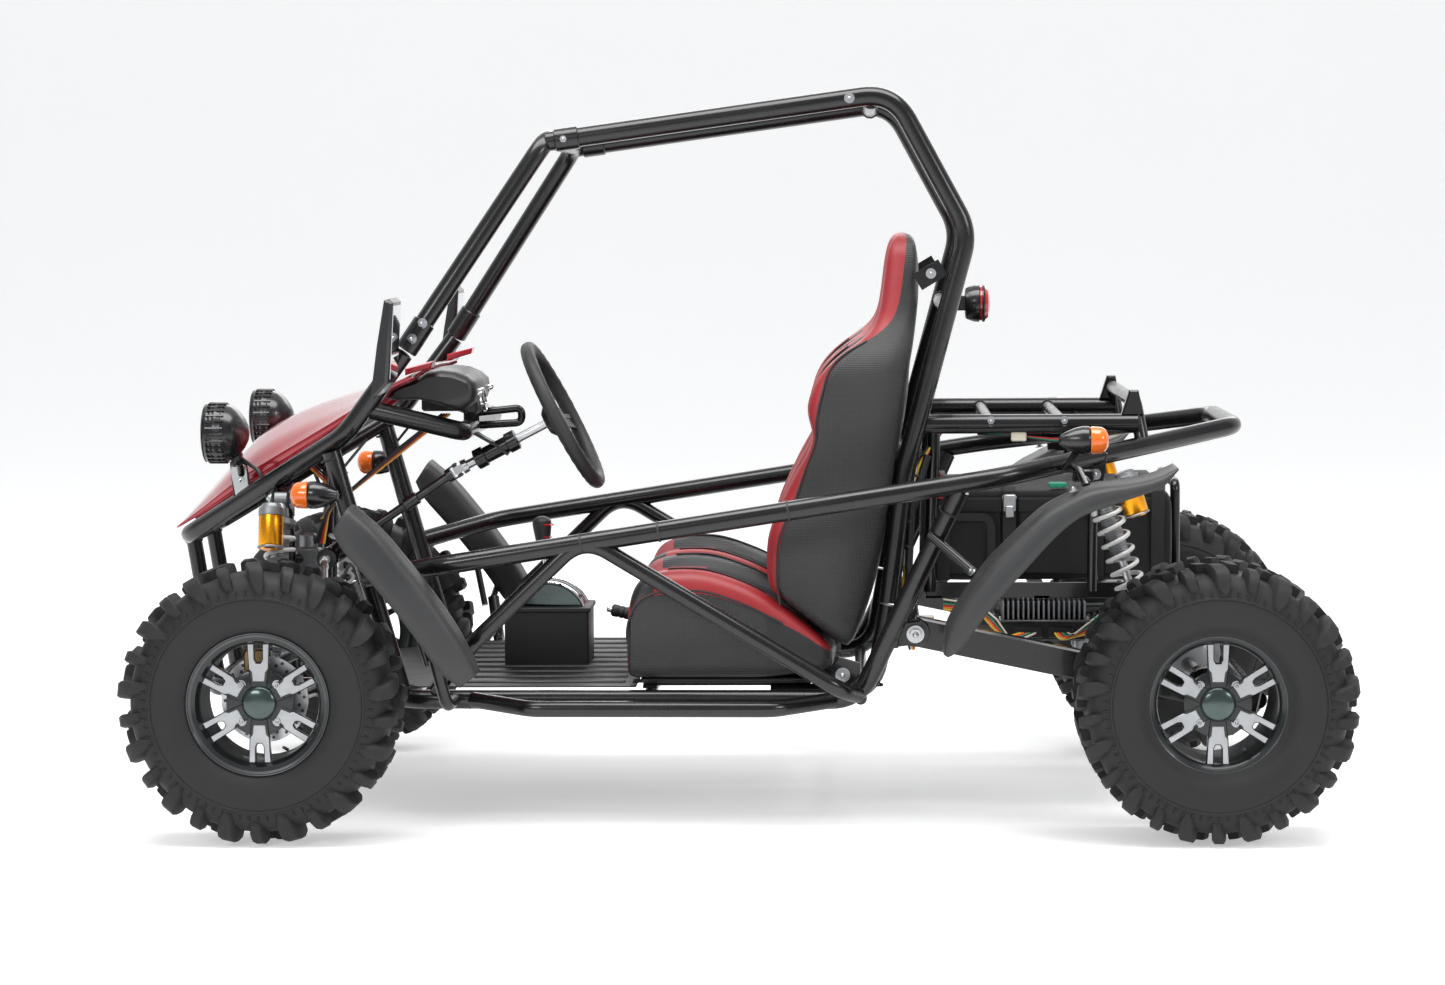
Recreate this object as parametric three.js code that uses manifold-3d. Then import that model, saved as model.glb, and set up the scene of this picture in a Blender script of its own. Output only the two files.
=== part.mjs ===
// Two-seat electric off-road kart on its welded tube chassis.
// Millimetres, +Z up, -X is the nose, -Y is the kart's left side.
// The origin is on the ground, midway between the tyres' outer edges.

import * as THREE from 'three';
import * as BufferGeometryUtils from 'three/addons/utils/BufferGeometryUtils.js';
import Module from 'manifold-3d';

const wasm = await Module();
wasm.setup();

// ---------------------------------------------------------------- driving dimensions

const WHEELBASE = 1820;
const FRONT_AXLE_X = -908;
const REAR_AXLE_X = FRONT_AXLE_X + WHEELBASE;
const FRONT_TYRE = { radius: 272, width: 178 };
const REAR_TYRE = { radius: 268, width: 250 };
const RIM_FLANGE_RADIUS = 137;
const RIM_BARREL_RADIUS = 118;
const WINDOW_COUNT = 6;
const WINDOW_RING = 80;
const WINDOW_RADIUS = 25;

const MAIN_TUBE = 19;
const SMALL_TUBE = 16;
const THIN_TUBE = 12.5;
const GAP = 0.4;

const LOWER_Z = 246;
const LOWER_Y = 405;
const FRONT_RAIL_Y = 215;
const STEP_Y = 520;
const SIDE_Y = 525;
const HOOP_Y = 352;
const RACK_Y = 320;
const RACK_Z = 780;
const FLOOR_Z = LOWER_Z + MAIN_TUBE + GAP;
const FLOOR_THICKNESS = 3;

const SEAT_Y = 212;
const SEAT_WIDTH = 392;
const COLUMN_Y = -200;
const WHEEL_HUB = [-360, COLUMN_Y, 795];
const STEERING_JOINT = [-575, COLUMN_Y, 684];
const RACK_BAR = [-835, 0, 510];
const RACK_BAR_HALF = 258;
const KINGPIN_Y = 535;
const ARM_PIVOT_Y = 252;
const ARM_PIVOT_X = [-1005, -862];
const SWING_PIVOT = { x: 345, z: 378 };
const SWING_Y = 385;
const FRONT_SHOCK = { top: [-908, 355, 640], bottom: [-908, 446, 312] };
const REAR_SHOCK = { top: [697, SWING_Y, 686], bottom: [806, SWING_Y, 338] };

const COLOURS = {
  frame: { color: 0x0a0b0d, roughness: 0.25, metalness: 0.3 },
  hood: { color: 0xa4081c, roughness: 0.2, metalness: 0.4 },
  plastic: { color: 0x303235, roughness: 0.5, metalness: 0.0 },
  rubber: { color: 0x202124, roughness: 0.85, metalness: 0.0 },
  vinyl: { color: 0x18191b, roughness: 0.55, metalness: 0.0 },
  fabric: { color: 0x232427, roughness: 0.9, metalness: 0.0 },
  alloy: { color: 0xb4b8bc, roughness: 0.3, metalness: 0.9 },
  steel: { color: 0x8f9296, roughness: 0.35, metalness: 0.9 },
  gold: { color: 0xd98a12, roughness: 0.3, metalness: 0.8 },
  lamp: { color: 0x111214, roughness: 0.3, metalness: 0.0 },
  lens: { color: 0xb01018, roughness: 0.2, metalness: 0.0 },
};

const SIDES = [
  { name: 'left', s: -1 },
  { name: 'right', s: 1 },
];

// ---------------------------------------------------------------- solids and curves

const kart = new THREE.Group();

function vec(p) {
  return new THREE.Vector3(p[0], p[1], p[2]);
}

function mirrored(point, s) {
  return [point[0], point[1] * s, point[2]];
}

function toSolid(geometry) {
  const bare = geometry.clone();
  bare.deleteAttribute('normal');
  bare.deleteAttribute('uv');
  const merged = BufferGeometryUtils.mergeVertices(bare, 1e-4);
  const vertProperties = new Float32Array(merged.attributes.position.array);
  const faces = Array.from(merged.index.array);
  const made = (triangles) => new wasm.Manifold(new wasm.Mesh({
    numProp: 3,
    vertProperties,
    triVerts: new Uint32Array(triangles),
  }));
  const solid = made(faces);
  if (solid.volume() > 0) return solid;
  const turned = [];
  for (let i = 0; i < faces.length; i += 3) turned.push(faces[i], faces[i + 2], faces[i + 1]);
  return made(turned);
}

function toGeometry(solid) {
  const mesh = solid.getMesh();
  const geometry = new THREE.BufferGeometry();
  geometry.setAttribute('position', new THREE.BufferAttribute(new Float32Array(mesh.vertProperties), 3));
  geometry.setIndex(new THREE.BufferAttribute(new Uint32Array(mesh.triVerts), 1));
  return geometry;
}

function join(solids) {
  return solids.reduce((whole, next) => whole.add(next));
}

function cut(solid, tools) {
  return tools.reduce((whole, tool) => whole.subtract(tool), solid);
}

function addNode(name, solid, colours) {
  const mesh = new THREE.Mesh(toGeometry(solid), new THREE.MeshStandardMaterial(colours));
  mesh.name = name;
  kart.add(mesh);
}

// A path through given points, met one by one, so that straight runs cost a single step.
class PointPath extends THREE.Curve {
  constructor(points) {
    super();
    this.points = points;
  }

  getPoint(t) {
    const last = this.points.length - 1;
    const at = Math.min(Math.floor(t * last), last - 1);
    return this.points[at].clone().lerp(this.points[at + 1], t * last - at);
  }

  getPointAt(u) {
    return this.getPoint(u);
  }

  getSpacedPoints() {
    return this.points.map((p) => p.clone());
  }

  getTangentAt(u) {
    const last = this.points.length - 1;
    const at = Math.round(u * last);
    const before = this.points[Math.max(at - 1, 0)];
    const here = this.points[at];
    const after = this.points[Math.min(at + 1, last)];
    const tangent = new THREE.Vector3();
    if (at > 0) tangent.add(here.clone().sub(before).normalize());
    if (at < last) tangent.add(after.clone().sub(here).normalize());
    return tangent.normalize();
  }
}

// Rounds the corners of a bent tube: each corner is [x, y, z, bend radius].
function roundedPoints(corners, bendSteps) {
  const points = [vec(corners[0])];
  for (let i = 1; i < corners.length - 1; i += 1) {
    const corner = vec(corners[i]);
    const back = vec(corners[i - 1]).sub(corner);
    const ahead = vec(corners[i + 1]).sub(corner);
    const room = Math.min(back.length(), ahead.length()) * 0.48;
    const halfAngle = back.angleTo(ahead) / 2;
    const reach = Math.min((corners[i][3] ?? 60) / Math.tan(halfAngle), room);
    const from = corner.clone().add(back.normalize().multiplyScalar(reach));
    const to = corner.clone().add(ahead.normalize().multiplyScalar(reach));
    const bend = new THREE.QuadraticBezierCurve3(from, corner, to);
    points.push(...bend.getPoints(bendSteps));
  }
  points.push(vec(corners[corners.length - 1]));
  return points;
}

function polygon(radius, sides) {
  const points = [];
  for (let i = 0; i < sides; i += 1) {
    const angle = ((i + 0.5) / sides) * 2 * Math.PI;
    points.push(new THREE.Vector2(radius * Math.cos(angle), radius * Math.sin(angle)));
  }
  return new THREE.Shape(points);
}

function tube(corners, radius, sides = 6, bendSteps = 2) {
  const points = roundedPoints(corners, bendSteps);
  const geometry = new THREE.ExtrudeGeometry(polygon(radius, sides), {
    steps: points.length - 1,
    extrudePath: new PointPath(points),
    bevelEnabled: false,
  });
  return toSolid(geometry);
}

function alignedTo(geometry, from, to) {
  const start = vec(from);
  const run = vec(to).sub(start);
  const turn = new THREE.Quaternion().setFromUnitVectors(
    new THREE.Vector3(0, 1, 0),
    run.clone().normalize(),
  );
  geometry.applyQuaternion(turn);
  const middle = start.addScaledVector(run, 0.5);
  geometry.translate(middle.x, middle.y, middle.z);
  return toSolid(geometry);
}

function rod(from, to, radius, sides = 6, endRadius = radius) {
  const length = vec(to).distanceTo(vec(from));
  return alignedTo(new THREE.CylinderGeometry(endRadius, radius, length, sides), from, to);
}

function box(low, high) {
  const size = vec(high).sub(vec(low));
  const middle = vec(low).addScaledVector(size, 0.5);
  const geometry = new THREE.BoxGeometry(size.x, size.y, size.z);
  geometry.translate(middle.x, middle.y, middle.z);
  return toSolid(geometry);
}

function boxAcross(xLow, xHigh, yOne, yTwo, zLow, zHigh) {
  return box([xLow, Math.min(yOne, yTwo), zLow], [xHigh, Math.max(yOne, yTwo), zHigh]);
}

// A flat bar in the XZ plane, from one end to the other, centred on middle y.
function barXZ(from, to, y, width, height) {
  const run = new THREE.Vector2(to[0] - from[0], to[1] - from[1]);
  const geometry = new THREE.BoxGeometry(run.length(), width, height);
  geometry.rotateY(-run.angle());
  geometry.translate((from[0] + to[0]) / 2, y, (from[1] + to[1]) / 2);
  return toSolid(geometry);
}

// A flat outline of [x, z] points, made into a slab between two y values.
function slabXZ(outline, yOne, yTwo) {
  const shape = new THREE.Shape(outline.map((p) => new THREE.Vector2(p[0], p[1])));
  const depth = Math.abs(yTwo - yOne);
  const geometry = new THREE.ExtrudeGeometry(shape, { depth, bevelEnabled: false });
  geometry.rotateX(Math.PI / 2);
  geometry.translate(0, Math.max(yOne, yTwo), 0);
  return toSolid(geometry);
}

function slabXY(outline, zLow, zHigh) {
  const shape = new THREE.Shape(outline.map((p) => new THREE.Vector2(p[0], p[1])));
  const geometry = new THREE.ExtrudeGeometry(shape, { depth: zHigh - zLow, bevelEnabled: false });
  geometry.translate(0, 0, zLow);
  return toSolid(geometry);
}

function slabYZ(outline, xLow, xHigh) {
  const shape = new THREE.Shape(outline.map((p) => new THREE.Vector2(p[0], p[1])));
  const geometry = new THREE.ExtrudeGeometry(shape, { depth: xHigh - xLow, bevelEnabled: false });
  geometry.rotateX(Math.PI / 2);
  geometry.rotateZ(Math.PI / 2);
  geometry.translate(xLow, 0, 0);
  return toSolid(geometry);
}

// A ring or disc about the Y axis from [radius, y] points, with a flat facet underneath.
function turnedY(profile, segments, centre) {
  const swell = 1 / Math.cos(Math.PI / segments);
  const points = profile.map((p) => new THREE.Vector2(p[0] * swell, p[1]));
  const geometry = new THREE.LatheGeometry(points, segments);
  geometry.rotateY(Math.PI / segments);
  geometry.translate(centre[0], centre[1], centre[2]);
  return toSolid(geometry);
}

function turnedX(profile, segments, centre) {
  const points = profile.map((p) => new THREE.Vector2(p[0], p[1]));
  const geometry = new THREE.LatheGeometry(points, segments);
  geometry.rotateZ(-Math.PI / 2);
  geometry.translate(centre[0], centre[1], centre[2]);
  return toSolid(geometry);
}

function closedProfile(points) {
  return [...points, points[0]];
}

// A sheet of even thickness between an outer and an inner grid of points.
function shell(outer, inner) {
  const rows = outer.length;
  const columns = outer[0].length;
  const vertices = [...outer.flat(), ...inner.flat()];
  const offset = rows * columns;
  const faces = [];
  const quad = (a, b, c, d) => faces.push(a, b, c, a, c, d);
  const at = (r, c) => r * columns + c;
  for (let r = 0; r < rows - 1; r += 1) {
    for (let c = 0; c < columns - 1; c += 1) {
      quad(at(r, c), at(r, c + 1), at(r + 1, c + 1), at(r + 1, c));
      quad(offset + at(r, c), offset + at(r + 1, c), offset + at(r + 1, c + 1), offset + at(r, c + 1));
    }
  }
  for (let c = 0; c < columns - 1; c += 1) {
    quad(at(0, c + 1), at(0, c), offset + at(0, c), offset + at(0, c + 1));
    const last = rows - 1;
    quad(at(last, c), at(last, c + 1), offset + at(last, c + 1), offset + at(last, c));
  }
  for (let r = 0; r < rows - 1; r += 1) {
    quad(at(r, 0), at(r + 1, 0), offset + at(r + 1, 0), offset + at(r, 0));
    const end = columns - 1;
    quad(at(r + 1, end), at(r, end), offset + at(r, end), offset + at(r + 1, end));
  }
  const geometry = new THREE.BufferGeometry();
  const positions = new Float32Array(vertices.flatMap((v) => v.toArray()));
  geometry.setAttribute('position', new THREE.BufferAttribute(positions, 3));
  geometry.setIndex(faces);
  return toSolid(geometry);
}

// ---------------------------------------------------------------- tube chassis

const NOSE_BAR_Z = 552;
const noseTubePath = (s) => [
  [-1128, 0, NOSE_BAR_Z],
  [-1128, 190 * s, NOSE_BAR_Z, 70],
  [-770, 415 * s, 770, 110],
  [-650, 430 * s, 930],
];
const sideRailPath = (s) => [
  [-729, 412 * s, 486],
  [-573, SIDE_Y * s, 522, 120],
  [500, SIDE_Y * s, 688, 160],
  [598, 459 * s, 704],
];
const perimeterPath = (s) => [
  [-1075, 0, LOWER_Z],
  [-1075, FRONT_RAIL_Y * s, LOWER_Z, 38],
  [-790, FRONT_RAIL_Y * s, LOWER_Z, 90],
  [-650, LOWER_Y * s, LOWER_Z, 90],
  [234, 420 * s, LOWER_Z, 90],
  [424, 514 * s, 652],
];
const hoopLegPath = (s) => [
  [60, HOOP_Y * s, LOWER_Z + 4],
  [262, HOOP_Y * s, LOWER_Z + 4, 80],
  [294, HOOP_Y * s, 425],
];
const towerPath = (s) => [[FRONT_AXLE_X, FRONT_RAIL_Y * s, LOWER_Z], [FRONT_AXLE_X, 318 * s, 655]];
const stepPath = (s) => [
  [-530, 408 * s, LOWER_Z],
  [-400, STEP_Y * s, LOWER_Z - 4, 60],
  [70, STEP_Y * s, LOWER_Z - 5, 60],
  [190, 420 * s, LOWER_Z],
];
const fenderStayPath = (s) => [
  [-560, 408 * s, LOWER_Z],
  [-566, 505 * s, LOWER_Z, 40],
  [-584, 552 * s, 345],
];

const screenPath = [
  [-646, -429, 936],
  [-374, -355, 1345, 55],
  [-374, 355, 1345, 55],
  [-646, 429, 936],
];
const roofPath = (s) => [
  [-374, 345 * s, 1340],
  [305, HOOP_Y * s, 1431, 90],
  [452, HOOP_Y * s, 1158, 110],
  [325, HOOP_Y * s, 690, 200],
  [294, HOOP_Y * s, 430],
];
const bumperPath = [
  [599, -458, 704],
  [985, -200, 768, 60],
  [985, 200, 768, 60],
  [599, 458, 704],
];

function columnPoint(distance) {
  const axis = vec(STEERING_JOINT).sub(vec(WHEEL_HUB)).normalize();
  return vec(WHEEL_HUB).addScaledVector(axis, distance).toArray();
}

function lowerColumnPoint(distance) {
  const axis = vec([RACK_BAR[0], COLUMN_Y, RACK_BAR[2]]).sub(vec(STEERING_JOINT)).normalize();
  return vec(STEERING_JOINT).addScaledVector(axis, distance).toArray();
}

const PINION_BOSS_START = 258;
const COLUMN_LENGTH = vec(WHEEL_HUB).distanceTo(vec(STEERING_JOINT));
const YOKE_GAP = 12.5;
const YOKE_PLATE = 5;

function armPivot(x, s) {
  const half = 25;
  return [
    rod([x - half - 6, ARM_PIVOT_Y * s, LOWER_Z], [x + half + 6, ARM_PIVOT_Y * s, LOWER_Z], 6, 8),
    boxAcross(x - half - 6, x - half, 210 * s, 264 * s, LOWER_Z - 13, LOWER_Z + 13),
    boxAcross(x + half, x + half + 6, 210 * s, 264 * s, LOWER_Z - 13, LOWER_Z + 13),
  ];
}

function lowerFrame() {
  const rackZ = RACK_BAR[2];
  const rackX = RACK_BAR[0];
  const parts = [];
  const tools = [];
  for (const { s } of SIDES) {
    parts.push(tube(perimeterPath(s), MAIN_TUBE));
    parts.push(tube(hoopLegPath(s), MAIN_TUBE));
    parts.push(tube(stepPath(s), SMALL_TUBE));
    parts.push(tube(fenderStayPath(s), THIN_TUBE));
    parts.push(rod([-664, 398 * s, LOWER_Z], [-801, 398 * s, 735], MAIN_TUBE));
    parts.push(tube(towerPath(s), SMALL_TUBE));
    parts.push(rod([FRONT_AXLE_X, 281 * s, rackZ], [rackX, 130 * s, rackZ], 10));
    for (const x of ARM_PIVOT_X) parts.push(...armPivot(x, s));
    for (const side of [-1, 1]) {
      const middle = FRONT_AXLE_X + side * (YOKE_GAP + YOKE_PLATE / 2);
      const plate = [[300 * s, 600], [300 * s, 668], [368 * s, 655], [368 * s, 626]];
      parts.push(slabYZ(plate, middle - YOKE_PLATE / 2, middle + YOKE_PLATE / 2));
    }
    parts.push(barXZ([285, 372], [358, 380], 438 * s, 8, 44));
    parts.push(boxAcross(282, 312, 434 * s, 462 * s, 352, 392));
    tools.push(tube(noseTubePath(s), MAIN_TUBE + GAP));
    tools.push(tube(sideRailPath(s), MAIN_TUBE + GAP));
  }
  for (const x of [-655, -180, 125, 238]) {
    parts.push(rod([x, -LOWER_Y, LOWER_Z], [x, LOWER_Y, LOWER_Z], THIN_TUBE));
  }
  parts.push(rod([-790, -FRONT_RAIL_Y, LOWER_Z], [-790, FRONT_RAIL_Y, LOWER_Z], THIN_TUBE));
  parts.push(rod([SWING_PIVOT.x, -446, SWING_PIVOT.z], [SWING_PIVOT.x, 446, SWING_PIVOT.z], 13, 12));
  parts.push(rod([rackX, -226, rackZ], [rackX, 150, rackZ], 20, 14));
  parts.push(rod([rackX, COLUMN_Y, rackZ], lowerColumnPoint(PINION_BOSS_START + 1), 19, 12));
  tools.push(rod([rackX, -300, rackZ], [rackX, 300, rackZ], 10 + GAP, 14));
  return cut(join(parts), tools);
}

function noseFrame() {
  const parts = [];
  const tools = [tube(perimeterPath(1), MAIN_TUBE + GAP), tube(perimeterPath(-1), MAIN_TUBE + GAP)];
  for (const { s } of SIDES) {
    parts.push(tube(noseTubePath(s), MAIN_TUBE));
    parts.push(tube([[-1132, 110 * s, 548], [-1085, 110 * s, 246]], SMALL_TUBE));
    parts.push(rod([-697, 424 * s, 868], [-690, 450 * s, 868], 11, 8));
    parts.push(slabXZ([[-1016, 620], [-984, 640], [-996, 706], [-1022, 706]], 272 * s, 278 * s));
  }
  const dashHoop = [[-733, -418, 822], [-552, -300, 768, 50], [-552, 300, 768, 50], [-733, 418, 822]];
  parts.push(tube(dashHoop, MAIN_TUBE));
  parts.push(rod(columnPoint(108), columnPoint(196), 20, 14));
  parts.push(barXZ([-556, 766], [-500, 734], COLUMN_Y, 34, 9));
  const handle = [[-556, -130, 795], [-452, -130, 806, 14], [-452, -130, 776, 14], [-556, -130, 770]];
  parts.push(tube(handle, 8));
  parts.push(boxAcross(-566, -538, -122, -138, 765, 800));
  tools.push(rod(columnPoint(90), columnPoint(215), 9 + GAP, 14));
  return cut(join(parts), tools);
}

function sideBar(s) {
  const hump = [
    [-596, 412 * s, LOWER_Z + 22],
    [-508, SIDE_Y * s, 374, 60],
    [-296, SIDE_Y * s, 578, 75],
    [198, SIDE_Y * s, 279, 60],
    [232, 470 * s, 262],
  ];
  const parts = [tube(sideRailPath(s), MAIN_TUBE), tube(hump, SMALL_TUBE)];
  const tools = [
    rod([-664, 398 * s, LOWER_Z], [-801, 398 * s, 735], MAIN_TUBE + GAP),
    tube(perimeterPath(s), MAIN_TUBE + GAP),
    tube(stepPath(s), SMALL_TUBE + GAP),
    tube(fenderStayPath(s), THIN_TUBE + GAP),
  ];
  return cut(join(parts), tools);
}

function roofHoop() {
  const parts = SIDES.map(({ s }) => tube(roofPath(s), MAIN_TUBE));
  parts.push(rod([262, -HOOP_Y, 1418], [262, HOOP_Y, 1418], SMALL_TUBE));
  parts.push(rod([412, -HOOP_Y, 1010], [412, HOOP_Y, 1010], SMALL_TUBE));
  parts.push(rod([328, -HOOP_Y, 700], [328, HOOP_Y, 700], SMALL_TUBE));
  return cut(join(parts), [tube(screenPath, MAIN_TUBE + GAP)]);
}

function rearFrame() {
  const parts = [tube(bumperPath, MAIN_TUBE)];
  parts.push(tube([[795, -326, 738], [780, -305, 822, 25], [780, 305, 822, 25], [795, 326, 738]], 14));
  for (const x of [496, 640]) parts.push(rod([x, -RACK_Y, RACK_Z], [x, RACK_Y, RACK_Z], 12, 8));
  for (const x of [385, 600, 860]) parts.push(box([x - 16, -262, 428], [x + 16, 262, 434]));
  for (const { s } of SIDES) {
    parts.push(rod([352, RACK_Y * s, RACK_Z], [786, RACK_Y * s, RACK_Z], MAIN_TUBE));
    parts.push(boxAcross(369, 884, 254 * s, 262 * s, 428, 460));
    parts.push(rod([385, RACK_Y * s, RACK_Z], [376, 262 * s, 444], THIN_TUBE));
    parts.push(rod([700, 262 * s, 444], [700, (RACK_Y - 4) * s, RACK_Z], 11, 8));
    for (const side of [-1, 1]) {
      const middle = (SWING_Y + side * (YOKE_GAP + YOKE_PLATE / 2)) * s;
      const plate = [[673, 728], [721, 728], [712, 670], [682, 670]];
      parts.push(slabXZ(plate, middle - YOKE_PLATE / 2, middle + YOKE_PLATE / 2));
    }
  }
  const loop = [[872, -170, 431], [872, -170, 651, 20], [872, 170, 651, 20], [872, 170, 431]];
  parts.push(tube(loop, 8));
  return cut(join(parts), SIDES.map(({ s }) => tube(roofPath(s), MAIN_TUBE + GAP)));
}

function seatRails() {
  const z = LOWER_Z + THIN_TUBE + GAP;
  const parts = [box([-194, -345, z], [-166, 345, z + 6]), box([111, -330, z], [139, 330, z + 6])];
  for (const y of [-320, -104, 104, 320]) parts.push(box([-194, y - 14, z + 4], [139, y + 14, 282]));
  parts.push(box([-180, -13, z], [125, 13, z + 6]));
  for (const side of [-1, 1]) {
    parts.push(boxAcross(-85, -40, side * 6, side * 11, z, 316));
  }
  return join(parts);
}

// ---------------------------------------------------------------- body panels

// Rows of [x, half width, edge height, shoulder height, ridge height], nose to dash.
const HOOD_ROWS = [
  [-1158, 150, 566, 570, 576],
  [-1100, 178, 598, 625, 640],
  [-1048, 215, 630, 676, 696],
  [-1000, 243, 660, 716, 744],
  [-945, 276, 690, 752, 780],
  [-870, 322, 736, 788, 812],
  [-775, 372, 800, 826, 842],
  [-700, 380, 856, 864, 870],
  [-642, 384, 884, 888, 892],
];

function hood() {
  const line = ([x, half, edge, shoulder, ridge], drop) => {
    const across = [-1, -0.72, -0.3, 0.3, 0.72, 1];
    const heights = [edge, shoulder, ridge, ridge, shoulder, edge];
    return across.map((share, i) => new THREE.Vector3(x, half * share, heights[i] - drop));
  };
  const outer = HOOD_ROWS.map((row) => line(row, 0));
  const inner = HOOD_ROWS.map((row) => line(row, 4));
  return shell(outer, inner);
}

function dashPanel() {
  const outline = [
    [-700, 836],
    [-690, 848],
    [-650, 865],
    [-618, 893],
    [-560, 886],
    [-530, 872],
    [-519, 826],
    [-560, 808],
    [-640, 832],
  ];
  return slabXZ(outline, -345, -55);
}

// A crowned mudguard: stations of [crown x, crown z, skirt x, skirt z, share of full width].
function mudguard(stations, yInner, yOuter, thickness) {
  const middle = (yInner + yOuter) / 2;
  const half = Math.abs(yOuter - yInner) / 2;
  const across = [-1, -0.92, -0.6, 0, 0.6, 0.92, 1];
  const depth = [0, 0.55, 0.9, 1, 0.9, 0.55, 0];
  const row = ([cx, cz, sx, sz, share], inset) => {
    const crown = new THREE.Vector2(cx, cz);
    const skirt = new THREE.Vector2(sx, sz);
    const span = crown.clone().sub(skirt);
    const usable = (span.length() - inset) / span.length();
    return across.map((side, i) => {
      const at = skirt.clone().addScaledVector(span, depth[i] * usable);
      const y = middle + side * (half * share - inset);
      return new THREE.Vector3(at.x, y, at.y);
    });
  };
  return shell(stations.map((st) => row(st, 0)), stations.map((st) => row(st, thickness)));
}

const FRONT_GUARD = [
  [-728, 650, -758, 604, 0.96],
  [-672, 602, -738, 566, 1],
  [-624, 545, -688, 508, 1],
  [-579, 487, -637, 445, 1],
  [-538, 428, -598, 392, 0.97],
  [-506, 372, -560, 336, 0.86],
  [-488, 330, -522, 302, 0.6],
];
const REAR_GUARD = [
  [395, 361, 404, 356, 0.5],
  [404, 424, 428, 378, 0.8],
  [465, 520, 486, 456, 0.95],
  [520, 579, 548, 527, 1],
  [579, 634, 604, 588, 1],
  [628, 662, 645, 622, 1],
  [675, 682, 680, 638, 1],
  [748, 691, 758, 664, 0.95],
  [795, 701, 806, 682, 0.85],
  [834, 717, 836, 713, 0.7],
];

function headlight(s) {
  const profile = [[0, -50], [44, -42], [56, -28], [60, -20], [60, -6], [56, 2], [50, 22], [30, 42], [0, 47]];
  return turnedX(profile, 14, [-1028, 280 * s, 766]);
}

function consoleBox() {
  const floor = FLOOR_Z + FLOOR_THICKNESS + GAP;
  const dome = new THREE.CylinderGeometry(80, 80, 92, 16);
  dome.translate(-408, 0, 358);
  const parts = [box([-496, -74, floor], [-322, 74, 388]), toSolid(dome)];
  return cut(join(parts), [box([-462, -8, 380], [-354, 8, 460])]);
}

function controller() {
  const parts = [box([517, -290, 345], [687, -100, 388])];
  for (let i = 0; i < 9; i += 1) {
    parts.push(box([521 + i * 19.4, -288, 386], [528 + i * 19.4, -102, 427.5]));
  }
  return join(parts);
}

// ---------------------------------------------------------------- seats

const SEAT_BACK = [
  [57, 452],
  [56, 561],
  [118, 702],
  [186, 818],
  [176, 853],
  [219, 923],
  [277, 983],
  [290, 1083],
  [302, 1143],
  [328, 1157],
  [352, 1128],
  [344, 922],
  [272, 499],
  [222, 330],
  [212, 322],
];
const SEAT_CUSHION = [
  [-206, 290],
  [-224, 385],
  [-206, 468],
  [-165, 497],
  [-76, 499],
  [30, 462],
  [54, 450],
  [208, 320],
  [202, 283],
  [-200, 283],
];

// ---------------------------------------------------------------- running gear

function tyre(size, s, x, middleY, bead, crownHalf) {
  const half = size.width / 2;
  const r = size.radius;
  const right = [
    [118.6, bead - 7],
    [137.8, bead - 0.9],
    [139, bead + 8],
    [204, half],
    [r - 20, half - 10],
    [r, crownHalf],
  ];
  const left = right.map(([radius, y]) => [radius, -y]).reverse();
  return turnedY(closedProfile([...right, ...left]), 20, [x, middleY * s, size.radius]);
}

function rim(s, x, z, middleY, bead, boreRadius, discRadius) {
  const half = bead + 7;
  const b = RIM_BARREL_RADIUS;
  const f = RIM_FLANGE_RADIUS;
  const ring = [[b - 6, -half], [f, -half], [b, 6 - bead], [b, bead - 6], [f, half], [b - 6, half]];
  const parts = [turnedY(closedProfile(ring), 20, [x, middleY * s, z])];
  parts.push(rod([x, 640 * s, z], [x, 652 * s, z], b - 4, 20));
  const windows = [];
  for (let i = 0; i < WINDOW_COUNT; i += 1) {
    const angle = (i / WINDOW_COUNT) * 2 * Math.PI;
    const hole = new THREE.CylinderGeometry(WINDOW_RADIUS, WINDOW_RADIUS, 40, 4);
    hole.translate(x + WINDOW_RING * Math.cos(angle), 646 * s, z + WINDOW_RING * Math.sin(angle));
    windows.push(toSolid(hole));
  }
  const spoked = cut(join(parts), windows);
  const hub = rod([x, 601 * s, z], [x, 652 * s, z], 30, 10);
  const cap = rod([x, 651 * s, z], [x, 662 * s, z], 31, 10, 26);
  let whole = join([spoked, hub, cap]);
  if (discRadius > 0) {
    whole = whole.add(rod([x, 584 * s, z], [x, 588 * s, z], discRadius, 16));
    whole = whole.add(rod([x, 584 * s, z], [x, 604 * s, z], 30, 10));
  }
  return whole.subtract(rod([x, 560 * s, z], [x, 650 * s, z], boreRadius, 12));
}

function frontArm(s) {
  const parts = [];
  const tools = [];
  for (const [innerX, outerX] of [[ARM_PIVOT_X[0], -922], [ARM_PIVOT_X[1], -894]]) {
    const along = (reach) => [innerX + reach, ARM_PIVOT_Y * s, LOWER_Z];
    parts.push(rod(along(-24.5), along(24.5), 13, 10));
    parts.push(rod(along(0), [outerX, 527 * s, LOWER_Z + 4], THIN_TUBE));
    tools.push(rod(along(-40), along(40), 6 + GAP, 8));
  }
  parts.push(rod([FRONT_AXLE_X, KINGPIN_Y * s, 220.6], [FRONT_AXLE_X, KINGPIN_Y * s, 323.4], 17, 14));
  tools.push(rod([FRONT_AXLE_X, KINGPIN_Y * s, 200], [FRONT_AXLE_X, KINGPIN_Y * s, 340], 8 + GAP, 12));
  parts.push(boxAcross(FRONT_AXLE_X - 46, FRONT_AXLE_X + 46, 430 * s, 462 * s, LOWER_Z - 6, LOWER_Z + 10));
  for (const side of [-1, 1]) {
    const middle = FRONT_AXLE_X + side * (YOKE_GAP + YOKE_PLATE / 2);
    const low = middle - YOKE_PLATE / 2;
    parts.push(boxAcross(low, low + YOKE_PLATE, 432 * s, 460 * s, LOWER_Z, 326));
  }
  return cut(join(parts), tools);
}

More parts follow.
